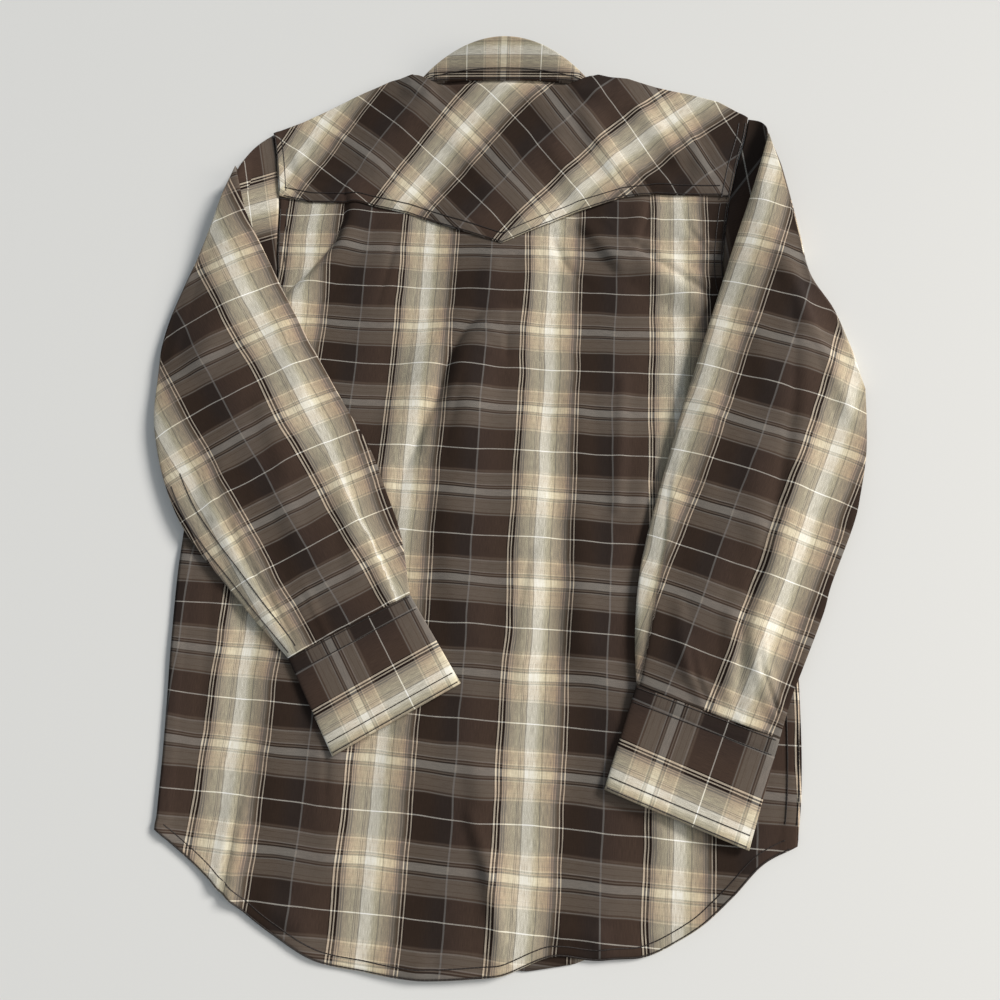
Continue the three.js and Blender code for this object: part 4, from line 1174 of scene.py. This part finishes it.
# %% [markdown]
# ## The stitching
#
# Every seam is sewn with a dark brown thread. Each stitch is a tiny pointed capsule that lies half
# sunk in the cloth. One capsule is made with a cone operator and copied along each line, and its
# tilt follows the cloth below it.

# %% Write the sewing helper
STITCH, STITCH_GAP, THREAD = 2.5, 0.7, 0.42


def capsule():
    bm = bmesh.new()
    bmesh.ops.create_cone(
        bm, cap_ends=True, segments=6, radius1=1.0, radius2=1.0, depth=1.0,
    )
    tops = [face for face in bm.faces if len(face.verts) == 6]
    for face in tops:
        bmesh.ops.inset_individual(bm, faces=[face], thickness=0.45, depth=0.12)
    bmesh.ops.triangulate(bm, faces=[face for face in bm.faces if len(face.verts) > 4])
    points = np.array([vert.co[:] for vert in bm.verts])
    bm.verts.index_update()
    faces = [[vert.index for vert in face.verts] for face in bm.faces]
    bm.free()
    return points, faces


CAPSULE_POINTS, CAPSULE_FACES = capsule()


def sew(name, lines, thread=THREAD):
    """Lines: arrays of points in pattern millimetres, on the cloth's face."""
    points, faces = [], []
    for line in lines:
        line = np.array(line, float)
        steps = np.linalg.norm(np.diff(line, axis=0), axis=1)
        along = np.concatenate(([0], np.cumsum(steps)))
        count = int(along[-1] // (STITCH + STITCH_GAP))
        for k in range(count):
            start = k * (STITCH + STITCH_GAP) + STITCH_GAP / 2
            a, b = ([np.interp(d, along, line[:, i]) for i in range(3)] for d in (start, start + STITCH))
            a, b = np.array(a), np.array(b)
            middle, way = (a + b) / 2, b - a
            middle[2] += 0.12
            length = np.linalg.norm(way)
            way = way / length
            side = np.cross((0, 0, 1.0), way)
            side /= np.linalg.norm(side)
            top = np.cross(way, side)
            local = CAPSULE_POINTS * (thread, thread, length)
            placed = middle + local[:, :1] * side + local[:, 1:2] * top + local[:, 2:] * way
            offset = len(points) * len(CAPSULE_POINTS)
            faces += [[index + offset for index in face] for face in CAPSULE_FACES]
            points.append(placed)
    cloud = np.concatenate(points)
    mesh = bpy.data.meshes.new(name)
    mesh.from_pydata(metres((cloud[:, 0], cloud[:, 1], cloud[:, 2])).tolist(), [], faces)
    mesh.update()
    piece = bpy.data.objects.new(name, mesh)
    bpy.context.scene.collection.objects.link(piece)
    print(name, len(points), "stitches")
    return piece


def on_surface(x, y, top):
    x, y = np.asarray(x, float), np.asarray(y, float)
    return np.stack((x, y, top(x, y)), axis=-1)


# %% Sew the body
def yoke_seam(offset):
    x = np.linspace(-211, 184, 260)
    return on_surface(x, yoke_line(x) + offset, yoke_top)


def hem_seam(offset):
    x = np.linspace(-236, 236, 300)
    slope = (back_hem(x + 1) - back_hem(x - 1)) / 2
    length = np.hypot(1, slope)
    return on_surface(x - offset * slope / length, back_hem(x) + offset / length, back_top)


def armhole_seams(top, low, high_left, high_right):
    lines = []
    for edge_x, sign, high in ((left_edge, 1, high_left), (right_edge, -1, high_right)):
        for offset in (1.4, 7.2):
            y = np.linspace(low, high, 140)
            lines.append(on_surface(edge_x(y) + sign * offset, y, top))
    return lines


def side_seam():
    """Only the right side's seam lies where it shows."""
    y = np.linspace(-268, UNDERARM_Y - 30, 160)
    return [on_surface(right_edge(y) - offset, y, back_top) for offset in (2.2, 10.2)]


body_lines = [yoke_seam(1.4), yoke_seam(9.6), hem_seam(7.2), hem_seam(1.0)]
body_lines += armhole_seams(back_top, UNDERARM_Y + 14, 224, 236)
body_lines += armhole_seams(yoke_top, 240, 299, 318)
body_lines += side_seam()
stitches = {"back_stitches": sew("back_stitches", body_lines)}


# %% Sew the sleeves and cuffs
def through(place, pairs):
    share, up = np.array(pairs, float).T
    return np.stack(place(share, up)[0], axis=-1)


def cuff_seams(side):
    place = cuff_place(side)
    lines = []
    for up in (0.018, 0.155, 0.875, 0.975):
        lines.append(through(place, [(share, up) for share in np.linspace(0.035, 0.465, 120)]))
    return lines


def sleeve_seams(side, shares, low, high):
    place = sleeve_place(side)
    return [through(place, [(share, up) for up in np.linspace(low, high, 240)]) for share in shares]


for side in SLEEVES:
    stitches[f"cuff_{side}_stitches"] = sew(f"cuff_{side}_stitches", cuff_seams(side))
stitches["collar_stitches"] = sew("collar_stitches", [
    through(leaf_place, [(share, up) for share in np.linspace(0.262, 0.738, 160)])
    for up in (0.05, 0.27)
])
stitches["sleeve_left_stitches"] = sew(
    "sleeve_left_stitches", sleeve_seams("left", (0.44, 0.395), 0.52, 0.99)
)

# %% Colour the thread
def thread_material():
    material = bpy.data.materials.new("dark_thread")
    material.use_nodes = True
    tree = material.node_tree
    shader = tree.nodes["Principled BSDF"]
    shader.inputs["Roughness"].default_value = 0.6
    coordinates = add_node(tree, "ShaderNodeTexCoord").outputs["Object"]
    uneven = noise_node(tree, coordinates, 900.0)
    ramp = ramp_node(
        tree, uneven, [(0.3, (0.008, 0.005, 0.004)), (0.7, (0.030, 0.019, 0.014))], 1.0, "LINEAR"
    )
    tree.links.new(ramp["Color"], shader.inputs["Base Color"])
    return material


thread_look = thread_material()
for piece in stitches.values():
    piece.data.materials.append(thread_look)


# %% [markdown]
# ## The snaps
#
# The pearl snaps are hard and their solids are right, so they stay and only get their finish.

# %% Finish the snaps
def pearl_material():
    material = bpy.data.materials.new("snap_pearl")
    material.use_nodes = True
    tree = material.node_tree
    shader = tree.nodes["Principled BSDF"]
    shader.inputs["Roughness"].default_value = 0.18
    shader.inputs["Coat Weight"].default_value = 0.4
    coordinates = add_node(tree, "ShaderNodeTexCoord").outputs["Object"]
    cloud = noise_node(tree, coordinates, 260.0, 3.0)
    ramp = ramp_node(
        tree, cloud, [(0.35, (0.62, 0.58, 0.52)), (0.65, (0.86, 0.84, 0.80))], 1.0, "LINEAR"
    )
    tree.links.new(ramp["Color"], shader.inputs["Base Color"])
    return material


pearl = pearl_material()
snap_nodes = [f"snap_{k}" for k in range(1, 8)]
snap_nodes += [f"cuff_{side}_snap_{k}" for side in SLEEVES for k in (1, 2)]
for node in snap_nodes:
    solid = bpy.data.objects[node]
    solid.data.materials.clear()
    solid.data.materials.append(pearl)

# %% [markdown]
# ## What each sheet is
#
# Each sheet takes the place of its solid and rides on the one body. The stitches ride on the cloth's body
# too.

SHEETS = {
    "back_cloth": (["back"], "plaid_body", (0.514, 0.648), 0.300, ["front_left_cloth"]),
    "yoke_cloth": (["yoke"], "plaid_yoke", (0.442, 0.168), 0.049, ["back_cloth"]),
    "front_left_cloth": (["front_left"], "plaid_body", (0.245, 0.748), 0.150, ["floor"]),
    "front_right_cloth": (["front_right"], "plaid_body", (0.285, 0.748), 0.175, ["floor"]),
    "placket_cloth": (["placket"], "plaid_trim", (0.038, 0.660), 0.025, ["floor"]),
    "collar_stand_cloth": (["collar_stand"], "plaid_collar", (0.400, 0.040), 0.011, ["yoke_cloth"]),
    "collar_leaf_cloth": (["collar_leaf"], "plaid_collar", (0.420, 0.080), 0.024, ["floor"]),
    "sleeve_left_cloth": (["sleeve_left"], "plaid_body", (0.420, 0.460), 0.130, ["back_cloth"]),
    "sleeve_right_cloth": (["sleeve_right"], "plaid_body", (0.420, 0.470), 0.130, ["back_cloth"]),
    "cuff_left_cloth": (["cuff_left"], "plaid_trim", (0.222, 0.081), 0.0175, ["back_cloth"]),
    "cuff_right_cloth": (["cuff_right"], "plaid_trim", (0.222, 0.081), 0.0175, ["back_cloth"]),
}
for name, (nodes, slot, flat, area, rests_on) in SHEETS.items():
    piece = made[name]
    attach(piece, "root")
    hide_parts(*nodes)
for piece in stitches.values():
    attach(piece, "root")

# %% [markdown]
# ## The board, the light and the camera
#
# The shirt lies on a plain pale board under soft light from the upper right. The camera looks down
# at a slight angle, so the hem is a little larger than the collar.

# %% Lay the board
bm = bmesh.new()
bmesh.ops.create_grid(bm, x_segments=1, y_segments=1, size=2.0)
floor_mesh = bpy.data.meshes.new("floor")
bm.to_mesh(floor_mesh)
bm.free()
floor = bpy.data.objects.new("floor", floor_mesh)
floor.location.z = -0.0004
bpy.context.scene.collection.objects.link(floor)
board = bpy.data.materials.new("pale_board")
board.use_nodes = True
board.node_tree.nodes["Principled BSDF"].inputs["Base Color"].default_value = (0.765, 0.765, 0.75, 1)
board.node_tree.nodes["Principled BSDF"].inputs["Roughness"].default_value = 0.9
floor_mesh.materials.append(board)

# %% Light it
world = bpy.data.worlds.new("soft_room")
world.use_nodes = True
world.node_tree.nodes["Background"].inputs["Color"].default_value = (0.87, 0.94, 1.0, 1)
world.node_tree.nodes["Background"].inputs["Strength"].default_value = 0.31
bpy.context.scene.world = world


def lamp(name, place, aim, size, power, colour):
    data = bpy.data.lights.new(name, "AREA")
    data.shape = "SQUARE"
    data.size = size
    data.energy = power
    data.color = colour
    light = bpy.data.objects.new(name, data)
    light.location = place
    light.rotation_euler = (Vector(aim) - Vector(place)).to_track_quat("-Z", "Y").to_euler()
    bpy.context.scene.collection.objects.link(light)


sun = bpy.data.lights.new("window", "SUN")
sun.energy = 3.6
sun.angle = np.radians(16)
sun.color = (1.0, 0.97, 0.93)
window = bpy.data.objects.new("window", sun)
window.rotation_euler = Vector((0.72, 0.50, 0.46)).to_track_quat("Z", "Y").to_euler()
bpy.context.scene.collection.objects.link(window)
lamp("fill", (1.7, -0.3, 1.0), (0.1, 0, 0), 0.9, 12, (1.0, 0.92, 0.82))
bpy.context.scene.view_settings.view_transform = "Standard"

# %% Set the camera
camera = bpy.data.objects.new("camera", bpy.data.cameras.new("camera"))
camera.data.lens = 27.04
camera.data.sensor_width = 36
camera.data.clip_start = 0.01
place = (np.array(EYE) - PATTERN_MIDDLE) * MM
tilt, lean, yaw = (Euler(turn).to_matrix() for turn in (
    (np.radians(12.78), 0, 0), (0, np.radians(4.48), 0), (0, 0, np.radians(3.02)),
))
camera.matrix_world = (yaw @ tilt @ lean).to_4x4()
camera.location = place
bpy.context.scene.collection.objects.link(camera)
bpy.context.scene.camera = camera

bpy.context.view_layer.update()
